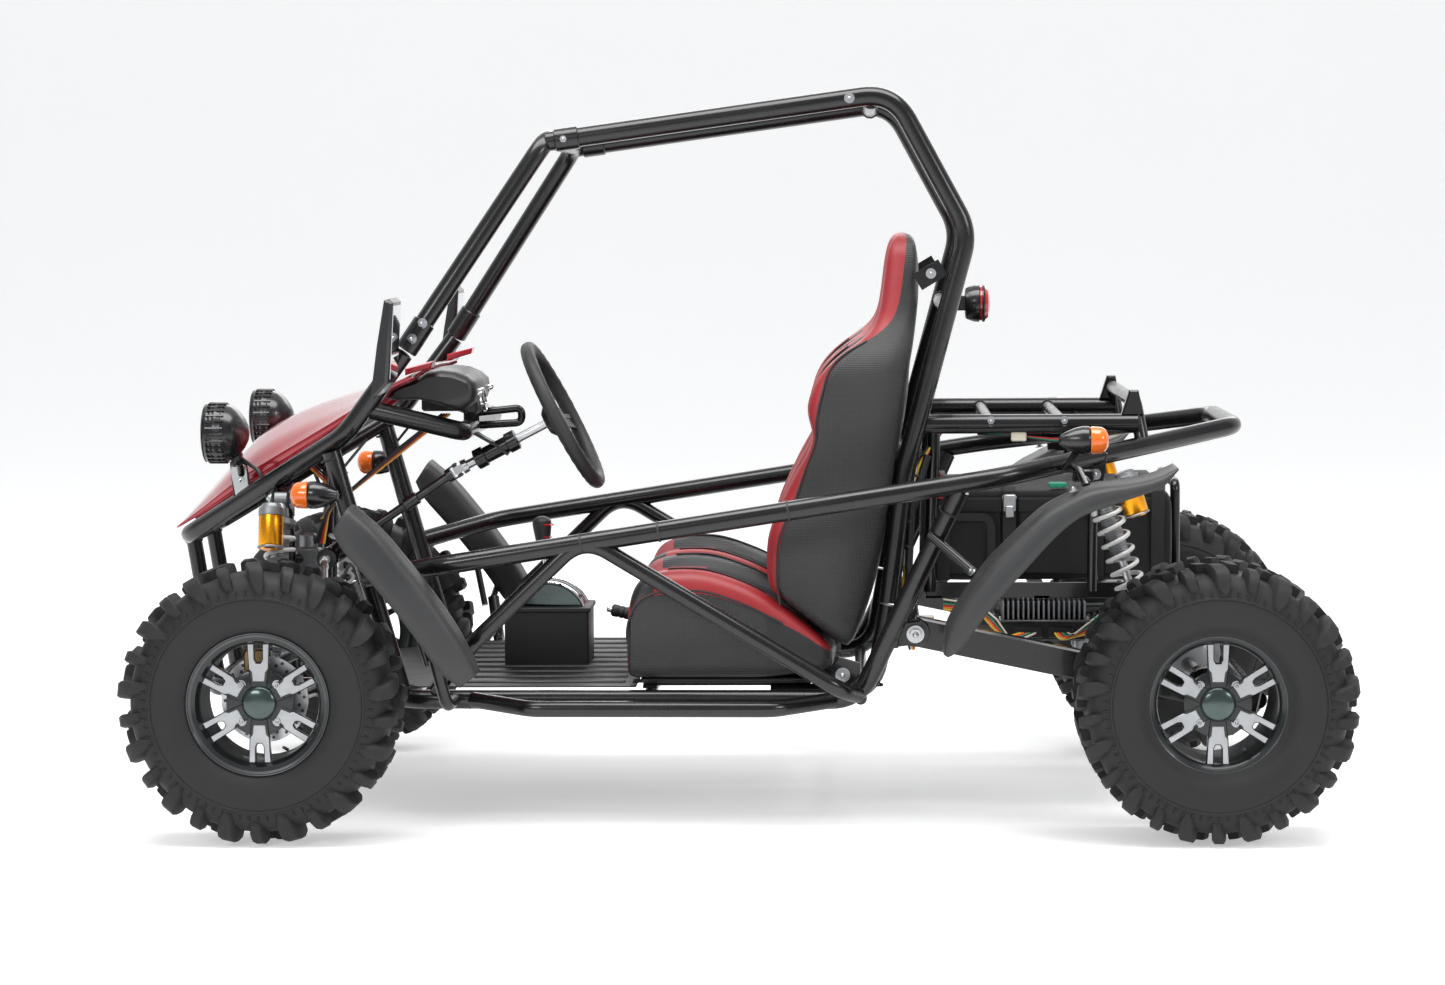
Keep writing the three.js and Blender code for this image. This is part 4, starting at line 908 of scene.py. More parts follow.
def hood_row(values):
    x, half, edge, shoulder, ridge = values
    rise = shoulder - edge
    side = [(-1.0, edge + 0.0), (-0.985, edge + rise * 0.34), (-0.955, edge + rise * 0.42),
            (-0.90, edge + rise * 0.62), (-0.83, edge + rise * 0.84), (-0.72, shoulder),
            (-0.60, shoulder + (ridge - shoulder) * 0.35), (-0.45, shoulder + (ridge - shoulder) * 0.72),
            (-0.3, ridge), (-0.15, ridge + 2), (0, ridge + 3)]
    return [(x, half * a, h) for a, h in side] + [(x, -half * a, h) for a, h in side[-2::-1]]


hood_rows = [hood_row(r) for r in eased(HOOD_ROWS, 5)]
hood = walled("hood_panel", hood_rows, 24, Vector(UPWARD), 3.5, hood_red, ["hood"])
trim = Shape()
for name, s in SIDES:
    edge = [Vector((r[0] + 2, r[1] * s, r[2] - 3)) for r in eased(HOOD_ROWS, 4)][3:]
    trim.sweep(edge, 4, 8)
    trim.plate([(-655, 884), (-603, 899), (-600, 912), (-655, 898)], "y", 330 * s, 384 * s, 2)
build("hood_edge_roll", trim, "chassis", "hood_red", hood_red)
print("hood faces", len(hood.data.polygons))

# %% [markdown]
# ## Dash pod
# The pod is a moulded hood over the gauge with a stepped rear face. A lofted shell gives its rounded top, and a
# gauge block and a few switches sit at its rear.

# %% Dash pod
pod = Shape()
rows = []
for y, tuck in ((-345, 14), (-338, 5), (-320, 0), (-200, 0), (-80, 0), (-62, 5), (-55, 14)):
    outline = [(-700, 836), (-692, 849), (-672, 860), (-646, 870), (-618, 889), (-590, 893), (-560, 889),
               (-536, 879), (-522, 866), (-519, 846), (-524, 828), (-545, 812), (-562, 810), (-590, 822),
               (-640, 834), (-680, 832)]
    middle = Vector((-610, 852))
    rows.append([(middle.x + (x - middle.x) * (1 - tuck / 90), y, middle.y + (z - middle.y) * (1 - tuck / 45))
                 for x, z in outline])
pod.skin(rows)
pod.block((-552, -262, 800), (-526, -138, 852), 5)
pod.block((-640, -250, 806), (-560, -150, 836), 4)
build("dash_pod", pod, "chassis", "dark_plastic", black_plastic, ["dash_panel"], 40)
switches = Shape()
for y in (-300, -272, -108):
    switches.turn([(0, 9), (3, 9), (4, 7), (11, 6), (13, 4), (13.5, 0)], (-522, y, 846), (0.94, 0, 0.34), 18)
switches.turn([(0, 34), (4, 34), (7, 31), (4, 29), (3, 0)], (-526, -200, 836), (0.97, 0, 0.2), 36)
build("dash_switches", switches, "chassis", "dark_plastic", chrome)
print("dash pod points", len(pod.points))

# %% [markdown]
# ## Mudguards
# Each mudguard is a curved strip, domed across with turned-down edges and a raised middle line. Rows follow the
# same crown and skirt line as the solid panel, eased into a smooth curve, then given a wall.

# %% Mudguards
FRONT_GUARD = [(-728, 650, -758, 604, 0.96), (-672, 602, -738, 566, 1), (-624, 545, -688, 508, 1),
               (-579, 487, -637, 445, 1), (-538, 428, -598, 392, 0.97), (-506, 372, -560, 336, 0.86),
               (-488, 330, -522, 302, 0.6)]
REAR_GUARD = [(395, 361, 404, 356, 0.5), (404, 424, 428, 378, 0.8), (465, 520, 486, 456, 0.95),
              (520, 579, 548, 527, 1), (579, 634, 604, 588, 1), (628, 662, 645, 622, 1),
              (675, 682, 680, 638, 1), (748, 691, 758, 664, 0.95), (795, 701, 806, 682, 0.85),
              (834, 717, 836, 713, 0.7)]


def mudguard(name, stations, inner, outer, s, node_name):
    middle, half = (inner + outer) / 2 * s, (outer - inner) / 2
    across = [-1, -0.985, -0.96, -0.9, -0.78, -0.5, -0.2, -0.08, 0, 0.08, 0.2, 0.5, 0.78, 0.9, 0.96, 0.985, 1]
    depth = [0, 0.3, 0.62, 0.8, 0.9, 0.96, 0.97, 0.985, 1, 0.985, 0.97, 0.96, 0.9, 0.8, 0.62, 0.3, 0]
    rows = []
    for cx, cz, sx, sz, share in eased(stations, 5):
        rows.append([(sx + (cx - sx) * d, middle + a * half * share, sz + (cz - sz) * d)
                     for a, d in zip(across, depth)])
    crown_x, crown_z, skirt_x, skirt_z = stations[3][:4]
    outward = Vector((crown_x - skirt_x, 0, crown_z - skirt_z))
    walled(name, rows, 50, outward, 3, guard_grey, [node_name])


for name, s in SIDES:
    mudguard("front_guard_" + name, FRONT_GUARD, 566, 686, s, "front_fender_" + name)
    mudguard("rear_guard_" + name, REAR_GUARD, 500, 686, s, "rear_fender_" + name)
    stays = Shape()
    stays.sweep(bent([(-584, 552 * s, 345), (-578, 600 * s, 372, 30), (-566, 660 * s, 385)]), 7, 12)
    stays.sweep(bent([(-600, 526 * s, 330), (-634, 580 * s, 470, 30), (-640, 660 * s, 515)]), 7, 12)
    stays.rod((372, 508 * s, 578), (452, 560 * s, 512), 9, 14)
    stays.sweep(bent([(650, 455 * s, 705), (660, 500 * s, 700, 10), (668, 600 * s, 676)]), 8, 12)
    stays.block((648, 445 * s, 676), (690, 475 * s, 700), 3)
    build("guard_stays_" + name, stays, *FRAME)
    sunk = [(Vector(p) - Vector(d).normalized() * 6, d)
            for p, d in (((-632, 626 * s, 524), (-0.8, 0, 0.62)), ((-544, 626 * s, 410), (-0.86, 0, 0.5)))]
    marks = [((452, 566 * s, 512), (-0.6, 0.3 * s, 0.6)), ((668, 560 * s, 686), UPWARD),
             ((640, 640 * s, 672), (-0.2, 0, 1))]
    screws("guard_screws_" + name, sunk + marks, 6.5, 5)
print("mudguards done")

# %% [markdown]
# ## Headlights
# Each headlight is a turned bowl with ribs round its rim, a ribbed lens and a wire guard in front. The ribs
# repeat round the lamp's axis with Geometry Nodes, and the guard is a lattice of bent wires.

# %% Headlights
for name, s in SIDES:
    centre = (-1028, 280 * s, 766)
    bowl = Shape()
    bowl.turn([(-38, 52), (-40, 57), (-34, 60), (-30, 58), (-26, 60.5), (-22, 58.5), (-16, 60.5), (-10, 58.5),
               (-4, 60), (2, 57), (12, 54), (24, 45), (36, 30), (43, 16), (46, 0)], centre, ALONG, 48)
    bowl.turn([(-14, 12), (14, 12), (16, 10), (16, 0)], (-1010, 272 * s, 712), UPWARD, 18)
    build("headlight_bowl_" + name, bowl, "chassis", "gloss_black", shell_black, ["headlight_" + name], 40)
    glass = Shape()
    glass.turn([(-36, 53), (-41, 40), (-45, 22), (-46.5, 0)], centre, ALONG, 48)
    build("headlight_glass_" + name, glass, "chassis", "gloss_black", clear_lens)
    rib = Shape()
    rib.block((-34, 57, -2.2), (2, 61.5, 2.2), 0.8)
    round_axle("headlight_ribs_" + name, rib, 28, centre, shell_black, "chassis", ALONG)
    guard = Shape()
    for k in range(-3, 4):
        for flip in (0, 1):
            reach = math.sqrt(max(0, 57 ** 2 - (k * 16) ** 2))
            wire = []
            for j in range(13):
                v = -reach + 2 * reach * j / 12
                a, b = (k * 16, v) if flip else (v, k * 16)
                p, q = (a + b) * 0.7071, (a - b) * 0.7071
                wire.append((-1068 - 9 * (1 - (p * p + q * q) / 57 ** 2), 280 * s + p, 766 + q))
            guard.sweep(wire, 1.5, 6)
    guard.turn([(-43, 56), (-41, 58.5), (-39, 56), (-41, 53.5)], centre, ALONG, 40, closed=True)
    build("headlight_guard_" + name, guard, "chassis", "gloss_black", shell_black)
    bracket = Shape()
    bracket.plate([(-1012, 640), (-984, 640), (-990, 700), (-1016, 712), (-1022, 690)], "y", 276 * s, 281 * s)
    build("headlight_bracket_" + name, bracket, "chassis", "steel", zinc)
    screws("headlight_screw_" + name, [((-1002, 282 * s, 672), (0, s, 0))], 8, 6)
print("headlights done")

# %% [markdown]
# ## Indicators and tail light
# The four indicators are small bullets with an amber end. The tail light is a round red lens on a black cup.

# %% Indicators and tail light
for name, s in SIDES:
    for place, centre, way in (("front", (-836, 462 * s, 655), -1), ("rear", (676, 556 * s, 762), 1)):
        shell = Shape()
        shell.turn([(0, 25.5), (-3, 27), (-14, 27), (-28, 24), (-44, 17), (-56, 10), (-60, 0)], centre,
                   (way, 0, 0), 30)
        shell.turn([(0, 26), (0, 0)], centre, (way, 0, 0), 30)
        if place == "front":
            shell.sweep([(-806, 452 * s, 655), (-790, 420 * s, 652)], 6, 12)
        else:
            shell.sweep(bent([(650, 556 * s, 740), (640, 530 * s, 722, 10), (632, 490 * s, 706)]), 7, 12)
        build(f"indicator_shell_{place}_{name}", shell, "chassis", "gloss_black", shell_black)
        lens = Shape()
        lens.turn([(1, 25), (3, 26.5), (22, 25.5), (30, 21), (35, 12), (36, 0)], centre, (way, 0, 0), 30)
        build(f"indicator_lens_{place}_{name}", lens, "chassis", "red_lens", amber)
tail = Shape()
tail.turn([(-25, 26), (-23, 32), (-6, 38), (4, 38.5), (6, 36), (6, 0)], TAIL_LIGHT, ALONG, 40)
tail.turn([(10, 38), (13, 39), (16, 37), (16, 36), (10, 36)], TAIL_LIGHT, ALONG, 40, closed=True)
build("tail_light_cup", tail, "chassis", "gloss_black", shell_black, ["tail_light"])
red = Shape()
red.turn([(6, 36), (14, 36), (22, 30), (26, 16), (27, 0)], TAIL_LIGHT, ALONG, 40)
build("tail_light_lens", red, "chassis", "red_lens", red_lens)
print("indicators and tail light done")

# %% [markdown]
# ## Tyres
# A tyre is a turned casing with a soft bulge and a few raised rings, and tall rubber lugs. One pitch of the
# tread is modelled: long and short shoulder lugs that fold down the sidewall, and slanted blocks
# between them. Geometry Nodes repeats that pitch thirteen times round the axle.

# %% Tyres
# Place, then x, y and z of the hub, half the width, and the height of the tread against the front one.
WHEELS = [("front", -908, 601, 272, 89, 1.0), ("rear", 912, 565, 268, 125, 268 / 272)]


def casing(w, k):
    half = [(w - 30, 126), (w - 22, 133), (w - 19, 141), (w - 14, 144), (w - 12, 148), (w - 9, 151),
            (w - 5, 160), (w - 2, 174), (w - 0.5, 188), (w - 0.5, 200), (w - 1.5, 202), (w + 0.4, 203.5),
            (w + 0.2, 206.5), (w - 2, 208), (w - 5, 220), (w - 10, 231), (w - 20, 241), (w - 36, 247),
            (w * 0.3, 250), (0, 251)]
    half = [(a, r if r < 150 else 150 + (r - 150) * k) for a, r in half]
    inner = [(a - 7 if 140 < r < 176 else a, r) for a, r in half]
    return half + [(-a, r) for a, r in inner[-2::-1]]


def on_tread(s, along, radius, round_by, turn):
    angle = turn + round_by / 260
    return Vector((radius * math.sin(angle), along * s, radius * math.cos(angle)))


def lug(shape, s, stations, turn, k):
    rows = []
    for low_a, low_r, top_a, top_r, middle, width in stations:
        h, mid_a, mid_r = width / 2, low_a + (top_a - low_a) * 0.88, low_r + (top_r - low_r) * 0.88
        rows.append([on_tread(s, low_a, low_r * k, middle - h - 2, turn),
                     on_tread(s, low_a, low_r * k, middle + h + 2, turn),
                     on_tread(s, mid_a, mid_r * k, middle + h, turn),
                     on_tread(s, top_a, top_r * k, middle + h - 2.6, turn),
                     on_tread(s, top_a, top_r * k, middle - h + 2.6, turn),
                     on_tread(s, mid_a, mid_r * k, middle - h, turn)])
    shape.skin(rows)


def tread_pitch(w, k):
    pitch = Shape()
    step = 2 * math.pi / 13
    for s, first in ((1, 0.0), (-1, 0.25)):
        long_lug = [(w - 58, 240, w - 58, 266, -15, 20), (w - 46, 240, w - 45, 270.5, -10, 25),
                    (w - 30, 236, w - 24, 270, -4, 29), (w - 20, 228, w - 9, 263, 2, 31),
                    (w - 14, 220, w + 0.5, 250, 6, 29), (w - 10, 211, w + 3, 236, 9, 24),
                    (w - 7, 203, w + 1, 222, 11, 15)]
        short_lug = [(w - 44, 240, w - 43, 266, -8, 17), (w - 32, 236, w - 28, 269, -2, 22),
                     (w - 20, 228, w - 11, 262, 2, 24), (w - 14, 220, w - 0.5, 249, 5, 22),
                     (w - 11, 212, w + 1.5, 238, 7, 15)]
        lug(pitch, s, long_lug, first * step, k)
        lug(pitch, s, short_lug, (first + 0.5) * step, k)
        reach = w - 66
        lug(pitch, s, [(3, 244, 3, 268, -22, 18), (reach * 0.5, 244, reach * 0.5, 271.5, -12, 26),
                       (reach, 243, reach, 268, 0, 20)], (first + 0.24) * step, k)
        if w > 100:
            lug(pitch, s, [(w - 92, 244, w - 92, 270, -12, 18), (w - 66, 242, w - 66, 269, 2, 24)],
                (first + 0.76) * step, k)
    return pitch


for place, x, y, z, w, k in WHEELS:
    for name, s in SIDES:
        body = "front_wheel_" + name if place == "front" else "rear_axle"
        centre = (x, y * s, z)
        round_part = Shape()
        round_part.turn([(a * s, r) for a, r in casing(w, k)], centre, ACROSS, 96, closed=True)
        build(f"{place}_casing_{name}", round_part, body, "tyre_rubber", tyre_black, [f"{place}_tyre_{name}"],
              40)
        mirrored = tread_pitch(w, k)
        mirrored.points = [Vector((p.x, p.y * s, p.z)) for p in mirrored.points]
        round_axle(f"{place}_lugs_{name}", mirrored, 13, centre, tyre_black, body, sharp=38)
        fins = Shape()
        fins.block((-1.2, (w - 8) * s, 213 * k), (1.2, (w + 0.8) * s, 222 * k), 0.6)
        round_axle(f"{place}_side_ribs_{name}", fins, 78, centre, tyre_black, body)
print("tyres done")

# %% [markdown]
# ## Rims
# Each rim is a turned barrel with a dark lip, six slotted spokes and a domed cap. The spokes are black with a
# machined face, so the body and the face are two pieces that the same tree repeats.

# %% Rims
SPOKE = [(-15, 30), (-19.5, 66), (-21.5, 116), (-8, 116), (-7.5, 84), (-4, 78), (4, 78), (7.5, 84), (8, 116),
         (21.5, 116), (19.5, 66), (15, 30)]
SPOKE_FACE = [(-11, 42), (-13, 60), (-18, 66), (-20.4, 113.5), (-9.2, 113.5), (-8.8, 84), (-5, 76.5), (5, 76.5),
              (8.8, 84), (9.2, 113.5), (20.4, 113.5), (18, 66), (13, 60), (11, 42)]
for place, x, y, z, w, k in WHEELS:
    out = 46 if place == "front" else 82
    lip = 71 if place == "front" else 102
    for name, s in SIDES:
        body = "front_wheel_" + name if place == "front" else "rear_axle"
        centre = (x, y * s, z)
        barrel = Shape()
        ring = [(-lip, 137), (-lip, 134), (-lip + 5, 122), (-lip + 14, 113.5), (out - 6, 113.5),
                (out + 5, 115.5), (lip - 8, 121), (lip - 3, 130), (lip, 134), (lip, 137), (lip - 2, 139.5),
                (lip - 6, 131), (lip - 14, 121), (-lip + 14, 121), (-lip + 6, 131), (-lip + 2, 139.5)]
        barrel.turn([(a * s, r) for a, r in ring], centre, ACROSS, 96, closed=True)
        boss = [(out - 12, 40), (out - 10, 62), (out - 1, 64), (out + 1, 60), (out + 2, 38), (out + 2, 20),
                (out - 12, 20)]
        barrel.turn([(a * s, r) for a, r in boss], centre, ACROSS, 64, closed=True)
        build(f"{place}_barrel_{name}", barrel, body, "alloy", rim_dark, [f"{place}_rim_{name}"], 28)
        spoke = Shape()
        spoke.plate(SPOKE, "y", (out - 9) * s, (out + 4) * s, 1.5)
        round_axle(f"{place}_spokes_{name}", spoke, 6, centre, rim_dark, body)
        face = Shape()
        face.plate(SPOKE_FACE, "y", (out + 3) * s, (out + 5.4) * s, 0.6)
        round_axle(f"{place}_spoke_faces_{name}", face, 6, centre, machined, body)
        edge = Shape()
        thin = [(lip - 3.4, 128.6), (lip - 0.4, 133.6), (lip + 0.4, 136.8), (lip - 0.6, 136.8),
                (lip - 1.6, 133.6), (lip - 4.2, 129)]
        edge.turn([(a * s, r) for a, r in thin], centre, ACROSS, 96, closed=True)
        build(f"{place}_lip_line_{name}", edge, body, "alloy", dark_steel)
        cap = Shape()
        dome = [(out - 2, 33), (out + 4, 34), (out + 8, 32), (out + 12, 26), (out + 14.5, 14), (out + 15, 0)]
        cap.turn([(a * s, r) for a, r in dome], centre, ACROSS, 56)
        build(f"{place}_hub_cap_{name}", cap, body, "alloy", cap_green)
        marks = [(p, (0, s, 0)) for p in circle(x, z, 49, (y + out + 1) * s, range(45, 360, 90))]
        screws(f"{place}_wheel_bolts_{name}", marks, 6.6, 8, body, machined)
        valve = Shape()
        valve.rod((x + 104 * 0.5, (y + out - 4) * s, z - 104 * 0.866),
                  (x + 96 * 0.5, (y + out + 16) * s, z - 96 * 0.866), 3.2, 12)
        build(f"{place}_valve_{name}", valve, body, "tyre_rubber", grip_black)
print("rims done")

# %% [markdown]
# ## Front suspension
# Each front arm is a welded wishbone of two tubes with bushes at the frame and a kingpin sleeve outboard. The
# knuckle turns in that sleeve and carries a brake disc with its caliper.

# %% Front arms, knuckles and brakes
for name, s in SIDES:
    arm = Shape()
    for x, xe in ((-1005, -922), (-862, -894)):
        arm.rod((x, 252 * s, 246), (xe, 527 * s, 250), 12.5, 22)
        arm.turn([(-22, 11), (-22, 15), (22, 15), (22, 11)], (x, 252 * s, 246), ALONG, 26, closed=True)
    arm.rod((-975, 346 * s, 248), (-876, 346 * s, 248), 10, 18)
    arm.turn([(-50, 10), (-51.4, 12), (-51.4, 17), (51.4, 17), (51.4, 12), (50, 10)], (-908, 535 * s, 272),
             UPWARD, 28, closed=True)
    arm.plate([(-960, 402 * s), (-856, 402 * s), (-880, 490 * s), (-936, 490 * s)], "z", 257, 262, 1)
    for low in (-925, -895):
        arm.plate([(424 * s, 258), (470 * s, 258), (462 * s, 318), (452 * s, 327), (440 * s, 327),
                   (430 * s, 318)], "x", low, low + 5, 1)
    build("front_wishbone_" + name, arm, "front_arm_" + name, "frame_paint", gloss_black, ["front_arm_" + name])
    rings = [ring_path((x, 516 * s, 250), (lean, s, 0), 13.5) for x, lean in ((-920, 0.3), (-896, -0.12))]
    weld("front_arm_welds_" + name, rings, "front_arm_" + name, 3, (1.4, 2.4, 1.8))
    screws("front_arm_bolts_" + name, [((-1030, 252 * s, 246), (-1, 0, 0)), ((-837, 252 * s, 246), ALONG),
                                       ((-890, 446 * s, 312), ALONG)], 7.5, 7, "front_arm_" + name)

    hub = Shape()
    near = 514 * s
    hub.plate([(near, 206), (558 * s, 206), (572 * s, 236), (572 * s, 308), (558 * s, 338), (near, 338),
               (near, 325), (553 * s, 325), (556 * s, 300), (556 * s, 244), (553 * s, 219), (near, 219)], "x",
              -930, -886, 4)
    hub.turn([(0, 30), (6, 32), (22, 26), (52, 24), (74, 22), (76, 12), (76, 0)], (-908, 570 * s, 272),
             (0, s, 0), 36)
    hub.turn([(-68, 8), (68, 8)], (-908, 535 * s, 272), UPWARD, 20)
    hub.sweep([(-900, 535 * s, 331), (-852, 522 * s, 352), (-800, 505 * s, 384)], [11, 9.5, 11], 16)
    hub.turn([(-6, 13), (-6, 15), (8, 15), (10, 12), (10, 0)], (-800, 505 * s, 382), UPWARD, 24)
    build("hub_carrier_" + name, hub, "knuckle_" + name, "steel", cast_alloy, ["knuckle_" + name], 35)
    screws("kingpin_nuts_" + name, [((-908, 535 * s, 340), UPWARD), ((-908, 535 * s, 204), (0, 0, -1)),
                                    ((-800, 505 * s, 391), UPWARD)], 9, 8, "knuckle_" + name)
    disc = Shape()
    disc.turn([(-17, 84), (-13, 84), (-13, 52), (-17, 52)], (-908, 601 * s, 272), (0, s, 0), 72, closed=True)
    disc.turn([(-20, 54), (-10, 54), (-8, 30), (-20, 30)], (-908, 601 * s, 272), (0, s, 0), 48, closed=True)
    build("front_brake_disc_" + name, disc, "front_wheel_" + name, "steel", zinc)
    hole = Shape()
    hole.turn([(-17.3, 3.6), (-12.7, 3.6)], (0, 0, 68), (0, s, 0), 12)
    hole.turn([(-17.3, 3.2), (-12.7, 3.2)], (10, 0, 76), (0, s, 0), 12)
    round_axle("front_disc_holes_" + name, hole, 18, (-908, 601 * s, 272), dark_steel, "front_wheel_" + name)
    caliper = Shape()
    caliper.block((-946, 590 * s, 326), (-900, 597 * s, 364), 3)
    caliper.block((-950, 570 * s, 322), (-896, 583 * s, 366), 5)
    caliper.block((-944, 574 * s, 358), (-902, 597 * s, 368), 3)
    caliper.turn([(0, 15), (5, 15), (7, 12), (7, 0)], (-923, 571 * s, 344), (0, -s, 0), 26)
    build("front_caliper_" + name, caliper, "knuckle_" + name, "steel", brass_tan)
    hose = Shape()
    hose.sweep(bent([(-923, 560 * s, 344), (-924, 492 * s, 350, 40), (-905, 420 * s, 400, 60),
                     (-870, 330 * s, 450, 60), (-842, 268 * s, 400)]), 4, 12)
    build("front_brake_hose_" + name, hose, ("chassis", "front_arm_" + name, (-0.86, 0.3 * s, 0.43),
                                             (-0.92, 0.5 * s, 0.35)), "grip_rubber", grip_black)
print("front suspension done")

# %% [markdown]
# ## Shock absorbers
# Each shock absorber is a body with a gold reservoir beside it, a rod with the lower eye, and a white coil
# spring. The spring rides on the body and keeps its length as the rod slides in.

# %% Shock absorbers
def coil(start, way, length, radius, wire, turns):
    way = way.normalized()
    one = way.orthogonal().normalized()
    two = way.cross(one)
    points = []
    count = int(turns * 26)
    for i in range(count + 1):
        t = i / count
        ends = min(1.0, min(t, 1 - t) * turns / 1.1)
        along = length * (0.5 + (t - 0.5) * (0.86 + 0.14 * ends)) if 0 < t < 1 else length * t
        angle = 2 * math.pi * turns * t
        along = min(max(along, wire), length - wire)
        points.append(start + way * along + radius * (math.cos(angle) * one + math.sin(angle) * two))
    return points


def shock(place, name, s, top, bottom, pin, shift):
    top, bottom, pin, shift = Vector(top), Vector(bottom), Vector(pin), Vector(shift)
    way = (bottom - top).normalized()
    length = (bottom - top).length
    body, rod = f"{place}_shock_body_{name}", f"{place}_shock_rod_{name}"
    shell = Shape()
    shell.turn([(-12, 6), (-12, 13), (12, 13), (12, 6)], top, pin, 28, closed=True)
    shell.turn([(10, 9), (16, 14), (40, 16), (44, 29), (46, 31), (54, 31), (56, 29), (56, 18)], top, way, 36)
    threads = [(56, 18)]
    for i in range(24):
        threads += [(58 + i * 5, 18.6), (60 + i * 5, 17.4)]
    shell.turn(threads + [(178, 17), (178, 0)], top, way, 32)
    shell.bar(top + way * 34, top + way * 34 + shift * 0.62, 22, 20, pin)
    build(f"{place}_damper_{name}", shell, body, "alloy", cast_alloy, [body], 35)
    can = Shape()
    base = top + shift
    can.turn([(36, 20), (38, 24.2), (94, 24.2), (98, 22), (104, 18), (105, 0)], base, way, 40)
    can.turn([(30, 0), (30, 20), (38, 21)], base, way, 40)
    build(f"{place}_reservoir_{name}", can, body, "gold_alloy", gold, (), 35)
    lid = Shape()
    lid.turn([(12, 0), (12, 15), (14, 19), (20, 21), (22, 25), (32, 25.6), (37, 24.8), (37, 0)], base, way, 40)
    lid.turn([(98, 25), (99, 25.8), (101, 25.8), (102, 24)], base, way, 40)
    build(f"{place}_reservoir_cap_{name}", lid, body, "alloy", cast_alloy)
    lower_end = Shape()
    lower_end.turn([(130, 0), (130, 8), (length - 42, 8), (length - 42, 14), (length - 40, 29),
                    (length - 38, 31), (length - 31, 31), (length - 29, 18), (length - 14, 13), (length - 8, 9),
                    (length - 8, 0)], top, way, 36)
    lower_end.turn([(-12, 6), (-12, 13), (12, 13), (12, 6)], bottom, pin, 28, closed=True)
    build(f"{place}_damper_rod_{name}", lower_end, rod, "steel", zinc, [rod], 35)
    start, span = top + way * 56, length - 96
    spring = Shape()
    spring.sweep(coil(start, way, span, 27.5, 4.3, 9.5 if place == "rear" else 8.5), 4.3, 12)
    piece = build(f"{place}_spring_{name}", spring, body, "steel", spring_white)
    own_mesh(piece)
    marks = [(top + pin * 20, pin), (top - pin * 20, -pin)]
    screws(f"{place}_shock_bolts_{name}", marks, 7.5, 6)


for name, s in SIDES:
    shock("front", name, s, (-908, 355 * s, 640), (-908, 446 * s, 312), ALONG, (-10, 52 * s, 6))
    shock("rear", name, s, (697, 385 * s, 686), (806, 385 * s, 338), ACROSS, (52, 0, 16))
print("shock absorbers done")

# %% [markdown]
# ## Swing arm, motor and rear axle
# The swing arm is two box bars joined by cross tubes. The motor hangs between them with cooling ribs round its
# drum, and drives the axle through a closed case. The axle carries one brake disc.

# %% Swing arm, motor and axle
swing = Shape()
for name, s in SIDES:
    start, end = Vector((349, 377)), Vector((1018, 237))
    side = Vector((end - start).normalized().orthogonal()).normalized() * 29
    corners = [start + side, end + side, end - side, start - side]
    swing.plate([tuple(c) for c in corners], "y", 385 * s - 20, 385 * s + 20, 4)
    swing.turn([(-32, 14), (-32, 27), (-30, 28), (30, 28), (32, 27), (32, 14)], (345, 394 * s, 378), ACROSS, 40,
               closed=True)
    swing.turn([(-24, 20), (-24, 38), (-22, 40), (22, 40), (24, 38), (24, 20)], (912, 386 * s, 268), ACROSS, 44,
               closed=True)
    for low in (-18, 13):
        swing.plate([(786, 300), (826, 296), (824, 344), (814, 352), (798, 352), (790, 344)], "y",
                    385 * s + low, 385 * s + low + 5, 1)
swing.rod((450, -372, 356), (450, 372, 356), 16, 24)
swing.rod((1018, -372, 237), (1018, 372, 237), 16, 24)
swing.bar((450, -60, 356), (690, -60, 330), 26, 10)
swing.bar((450, 40, 356), (690, 40, 330), 26, 10)
build("swing_arm_frame", swing, "swing_arm", "frame_paint", gloss_black, ["swing_arm"])
weld("swing_welds", [ring_path((x, 364 * s, z), ACROSS, 17) for x, z in ((450, 356), (1018, 237))
                     for _, s in SIDES], "swing_arm")
screws("swing_pivot_bolts", [((345, 448 * s, 378), (0, s, 0)) for _, s in SIDES], 12, 11)

motor = Shape()
motor.turn([(-50, 0), (-50, 46), (-46, 52), (-40, 55), (120, 55), (126, 50), (130, 40), (130, 0)], MOTOR,
           ACROSS, 56)
motor.turn([(-55, 0), (-55, 44), (-50, 54), (50, 54), (55, 44), (55, 0)], REAR_AXLE, ACROSS, 56)
motor.plate([(735, 262), (905, 226), (930, 262), (912, 312), (735, 352)], "y", -40, 40, 8)
motor.block((700, 60, 360), (770, 110, 378), 4)
build("motor_housing", motor, "swing_arm", "alloy", cast_alloy, ["drive_motor"], 35)
rib = Shape()
rib.block((-1.6, 2, 50), (1.6, 112, 58), 0.8)
round_axle("motor_ribs", rib, 30, MOTOR, cast_alloy, "swing_arm")
marks = circle(735, 310, 48, -50, range(30, 360, 60)) + circle(912, 268, 46, -54, range(0, 360, 60))
screws("motor_screws", [(p, (0, -1, 0)) for p in marks], 4.5, 4, "swing_arm")

